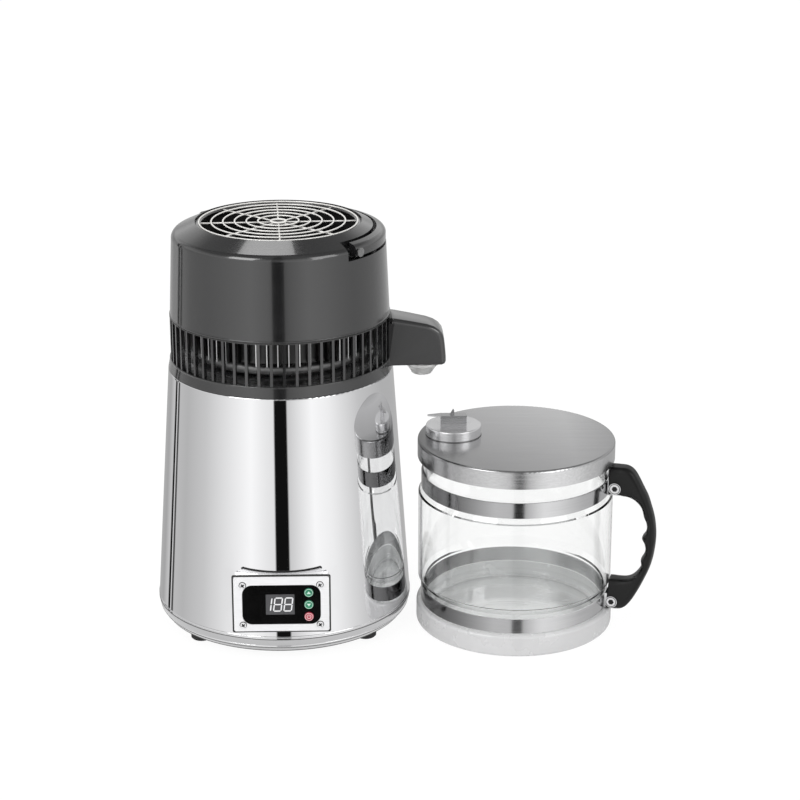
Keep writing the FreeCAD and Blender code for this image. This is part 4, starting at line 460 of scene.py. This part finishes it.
def along(stations, steps):
    """The stations with smooth ones between them, on a cubic curve through each station."""
    out = []
    for k in range(len(stations) - 1):
        a, b, c, d = (stations[min(max(k + n, 0), len(stations) - 1)] for n in (-1, 0, 1, 2))
        for step in range(steps):
            t = step / steps
            out.append([
                q + 0.5 * t * (r - p + t * (2 * p - 5 * q + 4 * r - s + t * (3 * q - p - 3 * r + s)))
                for p, q, r, s in zip(a, b, c, d)
            ])
    return out + [list(stations[-1])]


def spin(shape, profile, at, segments=48):
    """A turned solid of (radius, height) points round an upright axis at (x, y)."""
    loft(shape, [[(x, y, height) for x, y in circle(at, radius, segments)] for radius, height in profile])


def turned_ring(shape, profile, at, segments=96):
    """A ring with a closed profile of (radius, height) points round an upright axis at (x, y)."""
    rows = [
        [(at[0] + radius * math.cos(a), at[1] + radius * math.sin(a), height) for radius, height in profile]
        for a in turns_of(segments)
    ]
    loft(shape, rows + rows[:1], cap=False)


def wire_rings(rings, at=STILL_AXIS, segments=144, sides=10):
    """A filler that bends round wires to rings of (ring's radius, wire's radius, height)."""
    def fill(shape):
        for ring, wire, height in rings:
            turned_ring(shape, circle((ring, height), wire, sides), at, segments)
    return fill


def rod(shape, start, end, wire, sides=10):
    """A straight round wire."""
    start, end = Vector(start), Vector(end)
    way = (end - start).normalized()
    side = way.cross(Vector((0, 0, 1))).normalized()
    up = side.cross(way)
    loft(shape, [
        [p + side * wire * math.cos(t) + up * wire * math.sin(t) for t in turns_of(sides)]
        for p in (start, end)
    ])


def rounded_box(centre, wide, tall, corner, steps=5):
    """The outline of a box with round corners, as (x, z) points about centre."""
    spots = []
    for cx, cz, start in ((1, 1, 0), (-1, 1, 90), (-1, -1, 180), (1, -1, 270)):
        for k in range(steps + 1):
            a = math.radians(start + 90 * k / steps)
            spots.append((
                centre[0] + cx * (wide / 2 - corner) + corner * math.cos(a),
                centre[1] + cz * (tall / 2 - corner) + corner * math.sin(a),
            ))
    return spots


# Three leaning digits of lit bars on the display's face.
DIGIT_TALL, DIGIT_WIDE, LEAN = 12.6, 6.6, 0.13
BAR_WIDE, BAR_GAP = 1.1, 0.2
DIGIT_PROUD, DIGIT_THICK = 0.12, 0.17
BARS = {
    "a": ((0, 1), (1, 1)), "b": ((1, 1), (1, 0.5)), "c": ((1, 0.5), (1, 0)), "d": ((0, 0), (1, 0)),
    "e": ((0, 0.5), (0, 0)), "f": ((0, 1), (0, 0.5)), "g": ((0, 0.5), (1, 0.5)),
}
LIT_BARS = {"1": "bc", "8": "abcdefg"}
# Each digit and its place to the right of the display's middle.
SHOWN = (("1", -11.3), ("8", -1.9), ("8", 7.3))


def bar_outline(start, end, shift):
    """A pointed bar between two corners of a digit."""
    a = Vector(((start[0] - 0.5) * DIGIT_WIDE, (start[1] - 0.5) * DIGIT_TALL))
    b = Vector(((end[0] - 0.5) * DIGIT_WIDE, (end[1] - 0.5) * DIGIT_TALL))
    way = (b - a).normalized()
    side = Vector((-way.y, way.x)) * BAR_WIDE / 2
    a, b = a + way * BAR_GAP, b - way * BAR_GAP
    point = way * BAR_WIDE / 2
    spots = (a, a + point + side, b - point + side, b, b - point - side, a + point - side)
    return [(p.x + shift + p.y * LEAN, p.y) for p in spots]


def digits(shape):
    """The lit bars of the digits."""
    centre, low, _ = middle_of("display_module")
    front = low.y - DIGIT_PROUD
    for number, shift in SHOWN:
        for bar in LIT_BARS[number]:
            raised_shape(shape, bar_outline(*BARS[bar], shift), front, DIGIT_THICK, (centre.x, centre.z))


piece_from("display_digits", digits, "display_light", "still")


# The marks on the keys: two arrows and the power sign.
MARK_PROUD, MARK_THICK = 0.1, 0.15
ARROW_HALF, ARROW_FOOT, ARROW_TIP = 1.9, -1.1, 1.5
SIGN_INNER, SIGN_OUTER = 1.45, 2.0
SIGN_START, SIGN_SWEEP, SIGN_STEPS = 125, 290, 28
STROKE_HALF, STROKE_FOOT, STROKE_TOP = 0.28, 0.2, 2.3


def arrow(way):
    """A filler for an arrow that points up where way is 1 and down where it is -1."""
    def fill(shape):
        centre, low, _ = middle_of("button_up" if way > 0 else "button_down")
        foot, tip = ARROW_FOOT * way, ARROW_TIP * way
        outline = [(-ARROW_HALF, foot), (ARROW_HALF, foot), (0.0, tip)]
        raised_shape(shape, outline, low.y - MARK_PROUD, MARK_THICK, (centre.x, centre.z))
    return fill


def power_sign(shape):
    """An open ring with a stroke in its gap."""
    centre, low, _ = middle_of("button_power")
    front, at = low.y - MARK_PROUD, (centre.x, centre.z)
    turns = [math.radians(SIGN_START + SIGN_SWEEP * k / SIGN_STEPS) for k in range(SIGN_STEPS + 1)]
    for a, b in zip(turns, turns[1:]):
        corners = ((SIGN_INNER, a), (SIGN_INNER, b), (SIGN_OUTER, b), (SIGN_OUTER, a))
        ring = [(r * math.cos(t), r * math.sin(t)) for r, t in corners]
        raised_shape(shape, ring, front, MARK_THICK, at)
    stroke = [(-STROKE_HALF, STROKE_FOOT), (STROKE_HALF, STROKE_FOOT), (STROKE_HALF, STROKE_TOP),
              (-STROKE_HALF, STROKE_TOP)]
    raised_shape(shape, stroke, front, MARK_THICK, at)


piece_from("arrow_up", arrow(1), "key_mark", "up_key")
piece_from("arrow_down", arrow(-1), "key_mark", "down_key")
piece_from("power_sign", power_sign, "power_mark", "power_key")


# The jug's handle, station by station from its upper ear to its lower one: outer radius and height,
# inner radius and height, half the side, squareness.
GRIP_STATIONS = (
    (87.5, 159.5, 87.5, 132.4, 8.6, 7.0), (96.0, 159.5, 97.0, 132.4, 8.6, 7.0),
    (103.5, 159.2, 104.8, 131.6, 8.8, 5.5), (109.3, 156.0, 110.4, 129.2, 9.0, 4.0),
    (113.6, 150.0, 114.7, 125.6, 9.1, 3.2), (118.2, 141.5, 118.0, 121.2, 9.1, 2.8),
    (123.1, 132.3, 119.3, 116.8, 9.0, 2.6), (126.5, 122.5, 120.4, 112.3, 9.0, 2.5),
    (128.8, 115.0, 122.6, 107.4, 9.0, 2.5), (130.3, 108.0, 123.2, 102.0, 9.0, 2.5),
    (131.3, 101.0, 121.8, 97.0, 9.0, 2.5), (131.7, 94.5, 119.0, 92.0, 9.0, 2.5),
    (131.5, 88.0, 121.4, 87.0, 9.0, 2.5), (130.9, 81.5, 122.6, 81.4, 9.0, 2.5),
    (130.1, 75.5, 121.4, 75.8, 9.0, 2.5), (128.9, 69.5, 118.7, 70.6, 9.0, 2.5),
    (127.4, 64.0, 119.3, 65.0, 9.0, 2.6), (125.3, 58.2, 117.0, 59.8, 9.0, 2.8),
    (122.6, 51.8, 113.4, 55.0, 9.1, 3.0), (119.4, 44.6, 109.4, 51.6, 9.1, 3.4),
    (115.4, 36.6, 105.0, 50.0, 9.0, 4.0), (110.9, 29.0, 101.0, 49.6, 8.8, 5.0),
    (105.6, 22.8, 97.0, 49.5, 8.6, 6.0), (99.5, 20.6, 94.0, 49.5, 8.6, 7.0),
    (88.2, 20.5, 90.5, 49.5, 8.6, 7.0),
)
GRIP_STEPS, GRIP_SIDES = 4, 36


def jug_grip(shape):
    """A moulded C whose section is nearly oval at the fingers and squarer over the hoops' ears."""
    rings = []
    for out_r, out_z, in_r, in_z, half, square in along(GRIP_STATIONS, GRIP_STEPS):
        middle = ((out_r + in_r) / 2, (out_z + in_z) / 2)
        reach = ((out_r - in_r) / 2, (out_z - in_z) / 2)
        ring = []
        for a in turns_of(GRIP_SIDES):
            c, s = math.cos(a), math.sin(a)
            size = (abs(c) ** square + abs(s) ** square) ** (-1 / square)
            radius = middle[0] + reach[0] * c * size
            aside = half * s * size
            ring.append((
                JUG_AXIS[0] + radius * math.cos(GRIP_WAY) - aside * math.sin(GRIP_WAY),
                JUG_AXIS[1] + radius * math.sin(GRIP_WAY) + aside * math.cos(GRIP_WAY),
                middle[1] + reach[1] * c * size,
            ))
        rings.append(ring)
    loft(shape, rings)


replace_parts(piece_from("jug_grip", jug_grip, "handle_plastic", "jug"), "jug_handle")


# The spout's outline from the side: x from the still's axis, height, and how much of the edge's
# rounding is taken there. Its root follows a cylinder of radius SPOUT_SEAT.
SPOUT_ROOT, SPOUT_LONG, SPOUT_SEAT = 100.1, 50.4, 99.9
SPOUT_OUTLINE = (
    (SPOUT_ROOT, 246.0, 0.3), (146.6, 246.0, 0.3), (149.4, 246.9, 0.6), (150.5, 249.2, 1.0),
    (150.4, 254.0, 1.0), (149.5, 264.0, 1.0), (148.7, 270.6, 1.0), (147.2, 275.4, 1.0),
    (144.0, 279.4, 1.0), (139.4, 282.4, 1.0), (132.8, 284.7, 1.0), (118.0, 287.8, 1.0),
    (104.0, 290.4, 1.0), (SPOUT_ROOT, 291.0, 1.0),
)
SPOUT_ROUNDING, SPOUT_STEPS = 4.2, 7
SPOUT_HALF_ROOT, SPOUT_HALF_TIP = 18.0, 15.6


def spout_shape(shape):
    """The spout: its sides lean in towards the tip, and its edges are well rounded."""
    inward = []
    for k in range(len(SPOUT_OUTLINE)):
        a, b = SPOUT_OUTLINE[k - 1], SPOUT_OUTLINE[(k + 1) % len(SPOUT_OUTLINE)]
        way = Vector((b[0] - a[0], b[1] - a[1])).normalized()
        inward.append(Vector((-way.y, way.x)))
    # At the root the rounding pulls straight up and straight down.
    inward[0], inward[-1] = Vector((0.0, 1.0)), Vector((0.0, -1.0))
    rings = []
    turns = [math.pi / 2 * n / SPOUT_STEPS for n in range(SPOUT_STEPS + 1)]
    for side, t in [(-1, t) for t in turns[::-1]] + [(1, t) for t in turns]:
        pull = SPOUT_ROUNDING * (1 - math.cos(t))
        ring = []
        for (x, z, share), way in zip(SPOUT_OUTLINE, inward):
            spot = Vector((x, z)) + way * pull * share
            half = SPOUT_HALF_ROOT + (SPOUT_HALF_TIP - SPOUT_HALF_ROOT) * (x - SPOUT_ROOT) / SPOUT_LONG
            y = side * (half - SPOUT_ROUNDING + SPOUT_ROUNDING * math.sin(t))
            out = math.sqrt(SPOUT_SEAT**2 - y**2) if x == SPOUT_ROOT else spot.x
            ring.append((STILL_AXIS[0] + out, STILL_AXIS[1] + y, spot.y))
        rings.append(ring)
    loft(shape, rings)


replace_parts(piece_from("spout_shell", spout_shape, "head_plastic", "head"), "spout_hood")


# The feet: a pad's profile of (radius, height), the angles of the four and their distance out.
PAD_PROFILE = ((0.01, 0.0), (8.6, 0.0), (9.8, 1.2), (9.9, 4.8), (9.2, 6.2), (7.9, 6.9), (0.01, 6.9))
PAD_TURNS, PAD_OUT = (40, 140, 220, 320), 98.5


def rubber_pads(shape):
    """Four turned rubber feet under the skirt's ledge."""
    for turn in PAD_TURNS:
        angle = math.radians(turn)
        at = (STILL_AXIS[0] + PAD_OUT * math.cos(angle), STILL_AXIS[1] + PAD_OUT * math.sin(angle))
        spin(shape, PAD_PROFILE, at)


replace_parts(piece_from("rubber_pads", rubber_pads, "rubber_feet", "still"), "feet")


# The dark band round the bezel, a painted reflection of its polished edge: how much wider and taller than
# the bezel, and the corner's radius.
DARK_EDGE_INNER, DARK_EDGE_OUTER = (0.1, 0.1, 0.6), (3.0, 2.6, 1.7)
DARK_EDGE_BACK, DARK_EDGE_THICK = 0.5, 1.6


def bezel_dark_edge(shape):
    """A thin black band round the panel's bezel, which paints the dark reflection in its polished edge."""
    centre, low, high = middle_of("panel_bezel")
    inner, outer = (
        rounded_box((centre.x, centre.z), high.x - low.x + wider, high.z - low.z + taller, corner)
        for wider, taller, corner in (DARK_EDGE_INNER, DARK_EDGE_OUTER)
    )
    band(shape, inner, outer, low.y + DARK_EDGE_BACK, DARK_EDGE_THICK)


# The panel's screws: a dark ring of painted shade round each, and a dark cross on its head, painted shade
# for its cross recess.
SCREW_RADIUS, SHADE_RING_RADIUS, SHADE_RING_POINTS, SHADE_RING_PROUD = 2.6, 3.3, 28, 0.05
CROSS_LONG_HALF, CROSS_WIDE_HALF, CROSS_TURN, CROSS_PROUD = 1.9, 0.5, 0.6, 0.06
SCREW_MARK_THICK = 0.2


def screw_middles():
    """The middles of the four panel screws as (x, z)."""
    _, low, high = middle_of("panel_screws")
    return [
        (x, z) for x in (low.x + SCREW_RADIUS, high.x - SCREW_RADIUS)
        for z in (low.z + SCREW_RADIUS, high.z - SCREW_RADIUS)
    ]


def screw_shade_rings(shape):
    """A dark ring of painted shade round each panel screw."""
    _, low, _ = middle_of("panel_bezel")
    for at in screw_middles():
        inner, outer = (circle(at, radius, SHADE_RING_POINTS) for radius in (SCREW_RADIUS, SHADE_RING_RADIUS))
        band(shape, inner, outer, low.y - SHADE_RING_PROUD, SCREW_MARK_THICK)


def screw_cross_shades(shape):
    """A dark cross on each panel screw, painted shade for its cross recess."""
    _, low, _ = middle_of("panel_screws")
    a, b = CROSS_LONG_HALF, CROSS_WIDE_HALF
    for at in screw_middles():
        for turn in (CROSS_TURN, CROSS_TURN + math.pi / 2):
            c, s = math.cos(turn), math.sin(turn)
            corners = [(p * c - q * s, p * s + q * c) for p, q in ((a, b), (-a, b), (-a, -b), (a, -b))]
            raised_shape(shape, corners, low.y - CROSS_PROUD, SCREW_MARK_THICK, at)


piece_from("bezel_dark_edge", bezel_dark_edge, "tray_black", "still")
piece_from("screw_shade_rings", screw_shade_rings, "tray_black", "still")
piece_from("screw_cross_shades", screw_cross_shades, "tray_black", "still")


# A ring stands round each key's mark.
RING_INNER, RING_OUTER, RING_PROUD, RING_POINTS = 3.25, 3.65, 0.08, 40


def key_ring(node):
    """A filler for the ring round a key's mark."""
    def fill(shape):
        centre, low, _ = middle_of(node)
        inner, outer = (
            circle((centre.x, centre.z), radius, RING_POINTS) for radius in (RING_INNER, RING_OUTER)
        )
        band(shape, inner, outer, low.y - RING_PROUD, MARK_THICK)
    return fill


for key, mark, body_name, slot_name in (
    ("up", "key_mark", "up_key", "key_green"), ("down", "key_mark", "down_key", "key_green"),
    ("power", "power_mark", "power_key", "key_red"),
):
    piece_from(f"{key}_ring", key_ring(f"button_{key}"), mark, body_name)


# The fan's guard: rings of round wire on eight spokes, in a black frame ring.
GUARD_TOP, GUARD_WIRE = 379.3, 0.72
GUARD_RINGS = (18.3, 28.75, 39.2, 49.65, 60.1, 71.2)
HUB_RING, HUB_WIRE, HUB_DROP = 6.6, 1.1, 1.3
SPOKES, SPOKE_TURN, SPOKE_END, SPOKE_DROP = 8, 2.5, 71.0, 2.2
FRAME_PROFILE = ((69.2, 375.6), (74.3, 375.6), (74.3, 377.4), (73.6, 378.0), (69.8, 378.0), (69.2, 377.4))


def guard_wires(shape):
    """Rings of round wire on eight spokes."""
    rings = [(ring, GUARD_WIRE, GUARD_TOP - GUARD_WIRE) for ring in GUARD_RINGS]
    rings.append((HUB_RING, HUB_WIRE, GUARD_TOP - HUB_DROP))
    wire_rings(rings, segments=96)(shape)
    for k in range(SPOKES):
        a = math.radians(SPOKE_TURN + 360 / SPOKES * k)
        ends = [
            (STILL_AXIS[0] + r * math.cos(a), STILL_AXIS[1] + r * math.sin(a), GUARD_TOP - SPOKE_DROP)
            for r in (HUB_RING, SPOKE_END)
        ]
        rod(shape, *ends, GUARD_WIRE)


def guard_frame(shape):
    """The black ring that carries the wires."""
    turned_ring(shape, FRAME_PROFILE, STILL_AXIS)


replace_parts(piece_from("guard_wires", guard_wires, "grille_wire", "head"), "fan_grille")
piece_from("guard_frame", guard_frame, "head_plastic", "head")


# Rolled edges and dark lines, as rings of (ring's radius, wire's radius, height). The head has a rolled
# lip under the hood and one at the foot of the slats, with a dark line where the hood sits on them.
_, hood_low, _ = middle_of("head_cover")
HEAD_LIPS = ((99.2, 0.9, hood_low.z + 0.8), (100.1, 0.8, 253.7))
HEAD_SEAM = ((99.6, 0.5, hood_low.z - 0.6),)
# The skirt has a rolled hem and a fine bead. Dark lines lie under both and at its lower edge: the one under
# the hem is the joint with the shell, and the other two are painted shade.
SKIRT_BEADS = ((117.0, 1.3, 23.6), (116.0, 0.9, 14.6))
SKIRT_DARK_LINES = ((117.7, 0.55, 21.5), (115.5, 0.4, 12.8), (112.0, 0.5, 8.6))
# A dark line is painted where the filter cap sits on the lid: painted shadow in the gap under the cap.
CAP_SHADOW_LINE = ((25.4, 0.4, 179.3),)
cap_middle, _, _ = middle_of("inlet_cap")
cap_shadow_filler = wire_rings(CAP_SHADOW_LINE, at=(cap_middle.x, cap_middle.y), segments=96, sides=6)

piece_from("head_lips", wire_rings(HEAD_LIPS), "head_plastic", "head")
piece_from("head_seam", wire_rings(HEAD_SEAM, sides=6), "tray_black", "head")
piece_from("skirt_beads", wire_rings(SKIRT_BEADS), "polished_steel", "still")
piece_from("skirt_joint_and_shade_lines", wire_rings(SKIRT_DARK_LINES, sides=6), "seam_grey", "still")
piece_from("cap_shadow_line", cap_shadow_filler, "seam_grey", "cap")


# The bolts of the jug's handle: their heights and distance out, and how far the head and the nut stand
# from the handle's middle plane.
BOLT_HEIGHTS, BOLT_OUT = (28.45, 140.15), 93.5
HEAD_SIDE, NUT_SIDE = 10.35, 9.95
SOCKET_SHADE_RADIUS, BOLT_MARK_THICK = 2.7, 0.12
# The painted shade rings' inner and outer radius, on the head and on the nut.
HEAD_SHADE_RING, NUT_SHADE_RING = (4.3, 4.9), (3.1, 3.6)
BOLT_POINTS = 36


def bolt_shades(shape):
    """Painted shade on each bolt: a dark ring and a dark six-sided mark for the socket on its head, and a
    dark ring on its nut behind.
    """
    way = Vector((math.cos(GRIP_WAY), math.sin(GRIP_WAY), 0.0))
    side = Vector((-math.sin(GRIP_WAY), math.cos(GRIP_WAY), 0.0))

    def upright(middle, radius, count):
        """A circle that stands in the handle's plane."""
        return [middle + way * x + Vector((0, 0, z)) for x, z in circle((0.0, 0.0), radius, count)]

    for height in BOLT_HEIGHTS:
        axis = Vector((*JUG_AXIS, height)) + way * BOLT_OUT
        near, far = axis - side * HEAD_SIDE, axis + side * NUT_SIDE
        out = side * BOLT_MARK_THICK
        loft(shape, [upright(near, SOCKET_SHADE_RADIUS, 6), upright(near - out, SOCKET_SHADE_RADIUS, 6)])
        for face, step, (inner, outer) in ((near, -out, HEAD_SHADE_RING), (far, out, NUT_SHADE_RING)):
            rows = [
                upright(face, inner, BOLT_POINTS), upright(face, outer, BOLT_POINTS),
                upright(face + step, outer, BOLT_POINTS), upright(face + step, inner, BOLT_POINTS),
            ]
            loft(shape, rows + rows[:1], cap=False)


piece_from("bolt_shades", bolt_shades, "handle_plastic", "jug")


# Studio, as gloss sees it. A wall's stops are degrees round the object from the front and the level
# there, and the dark gaps give the steel its stripes.
WALLS = (
    (-180, 0.42), (-146, 0.38), (-134.4, 0.56), (-132.4, 0.62), (-131.8, 0.0),
    (-127.6, 0.0), (-127.1, 0.95), (-125.5, 0.70), (-125.0, 0.02),
    (-122.4, 0.02), (-121.8, 0.52), (-105, 0.48), (-78, 0.60), (-50, 0.84),
    (-29, 1.02), (-14, 0.86), (-6.4, 0.80), (-5.7, 0.006), (6.1, 0.006),
    (6.8, 0.62), (14, 0.74), (31, 1.01), (48, 0.92), (64, 0.76),
    (84, 0.58), (120, 0.46), (179, 0.42),
)
# How bright the walls are, from straight below (0) to straight above (1).
RISE = ((0.0, 0.95), (0.45, 1.0), (0.56, 0.95), (0.68, 0.62), (0.80, 0.34), (1.0, 0.26))
# The gaps between the walls end at the floor, which is as pale as the walls.
FLOOR_FROM, FLOOR_TO, FLOOR_LEVEL = -0.47, -0.42, 0.78
# A pale sheet overhead, by the slope of the ray: it comes in over SHEET_IN and fades over SHEET_OUT.
SHEET_IN, SHEET_LEVEL = (0.12, 0.24), 0.34
SHEET_OUT, SHEET_LEFT = (0.50, 0.66), 0.25
GLOSS_STRENGTH, PLAIN_STRENGTH = 1.16, 0.88
WHITE = (1, 1, 1, 1)


def studio_world():
    """White for the camera and through glass; for gloss, tall pale walls with dark gaps between them."""
    world = bpy.data.worlds.new("studio")
    scene.world = world
    world.use_nodes = True
    nodes = Nodes(world.node_tree)
    out = nodes.add("ShaderNodeOutputWorld")
    where = nodes.add("ShaderNodeTexCoord")
    split = nodes.add("ShaderNodeSeparateXYZ")
    nodes.put(split.inputs[0], where.outputs["Generated"])
    x, y, z = split.outputs
    turn = nodes.math("ARCTAN2", x, nodes.math("MULTIPLY", y, -1.0))
    share = nodes.math("ADD", nodes.math("DIVIDE", turn, FULL_TURN), 0.5)
    stops = [(0.5 + degrees / 360.0, level) for degrees, level in WALLS]
    walls = nodes.ramp(share, stops, smooth=False)
    rise = nodes.ramp(nodes.math("ADD", nodes.math("MULTIPLY", z, 0.5), 0.5), RISE, smooth=False)
    floor_share = nodes.between(z, FLOOR_FROM, FLOOR_TO, 1.0, 0.0)
    seen_walls = nodes.math(
        "ADD", nodes.math("MULTIPLY", walls, nodes.math("SUBTRACT", 1.0, floor_share)),
        nodes.math("MULTIPLY", floor_share, FLOOR_LEVEL),
    )
    overhead = nodes.math(
        "MULTIPLY", nodes.between(z, *SHEET_IN, 0.0, SHEET_LEVEL),
        nodes.between(z, *SHEET_OUT, 1.0, SHEET_LEFT),
    )
    mirrored = nodes.math("ADD", nodes.math("MULTIPLY", seen_walls, rise), overhead)
    gloss = nodes.backdrop(mirrored, GLOSS_STRENGTH)
    plain = nodes.backdrop(WHITE, PLAIN_STRENGTH)
    white = nodes.backdrop(WHITE, 1.0)
    path = nodes.add("ShaderNodeLightPath")
    seen = nodes.math("MAXIMUM", path.outputs["Is Camera Ray"], path.outputs["Is Transmission Ray"])
    lit = nodes.mix_shader(path.outputs["Is Glossy Ray"], plain, gloss)
    nodes.put(out.inputs["Surface"], nodes.mix_shader(seen, lit, white))


# The floor in metres: half its side and how far it lies below the feet.
FLOOR_HALF, FLOOR_DROP = 4.0, 0.0002
# Its paint's two greys, its glow, and the share of the glow where the camera sees it.
FLOOR_GREYS, FLOOR_GLOW, GLOW_SHARE = ((0.3, 0.86), (0.7, 0.88)), 1.05, 0.88


def studio_floor():
    """A plain white floor that keeps the object's shadow and isn't mirrored."""
    data = bpy.data.meshes.new("studio_floor")
    half = FLOOR_HALF
    corners = [(-half, -half, 0), (half, -half, 0), (half, half, 0), (-half, half, 0)]
    data.from_pydata(corners, [], [(0, 1, 2, 3)])
    floor = bpy.data.objects.new("studio_floor", data)
    floor.location.z = -FLOOR_DROP
    scene.collection.objects.link(floor)
    nodes, out = new_material("white_floor")
    paint = nodes.add("ShaderNodeBsdfDiffuse")
    nodes.put(paint.inputs["Color"], nodes.ramp(nodes.noise(scale=3.0), FLOOR_GREYS))
    glow = nodes.add("ShaderNodeEmission")
    nodes.put(glow.inputs["Strength"], FLOOR_GLOW)
    clear = nodes.add("ShaderNodeBsdfTransparent")
    path = nodes.add("ShaderNodeLightPath")
    seen = nodes.math("MAXIMUM", path.outputs["Is Camera Ray"], path.outputs["Is Transmission Ray"])
    share = nodes.math("MULTIPLY", seen, GLOW_SHARE)
    surface = nodes.mix_shader(share, paint.outputs[0], glow.outputs[0])
    nodes.put(out, nodes.mix_shader(path.outputs["Is Glossy Ray"], surface, clear.outputs[0]))
    data.materials.append(made_materials["white_floor"])


def lamp(name, place, aim, size, power):
    """A lamp of an oblong face: its place, aim and size in metres, its power in watts."""
    data = bpy.data.lights.new(name, "AREA")
    data.shape = "RECTANGLE"
    data.size, data.size_y = size
    data.energy = power
    made = bpy.data.objects.new(name, data)
    made.location = place
    made.rotation_mode = "QUATERNION"
    made.rotation_quaternion = (Vector(aim) - Vector(place)).to_track_quat("-Z", "Y")
    scene.collection.objects.link(made)


OBJECT_MIDDLE, GUARD_MIDDLE = (0.0, 0.0, 0.15), (-0.1133, 0.0, 0.37)
studio_world()
studio_floor()
lamp("key_left", place=(-1.25, -1.35, 1.55), aim=OBJECT_MIDDLE, size=(1.0, 1.0), power=14.0)
lamp("fill_right", place=(1.45, -1.2, 1.35), aim=OBJECT_MIDDLE, size=(1.0, 1.0), power=7.0)
lamp("top", place=(-0.20, 0.36, 1.25), aim=GUARD_MIDDLE, size=(0.34, 0.20), power=0.6)
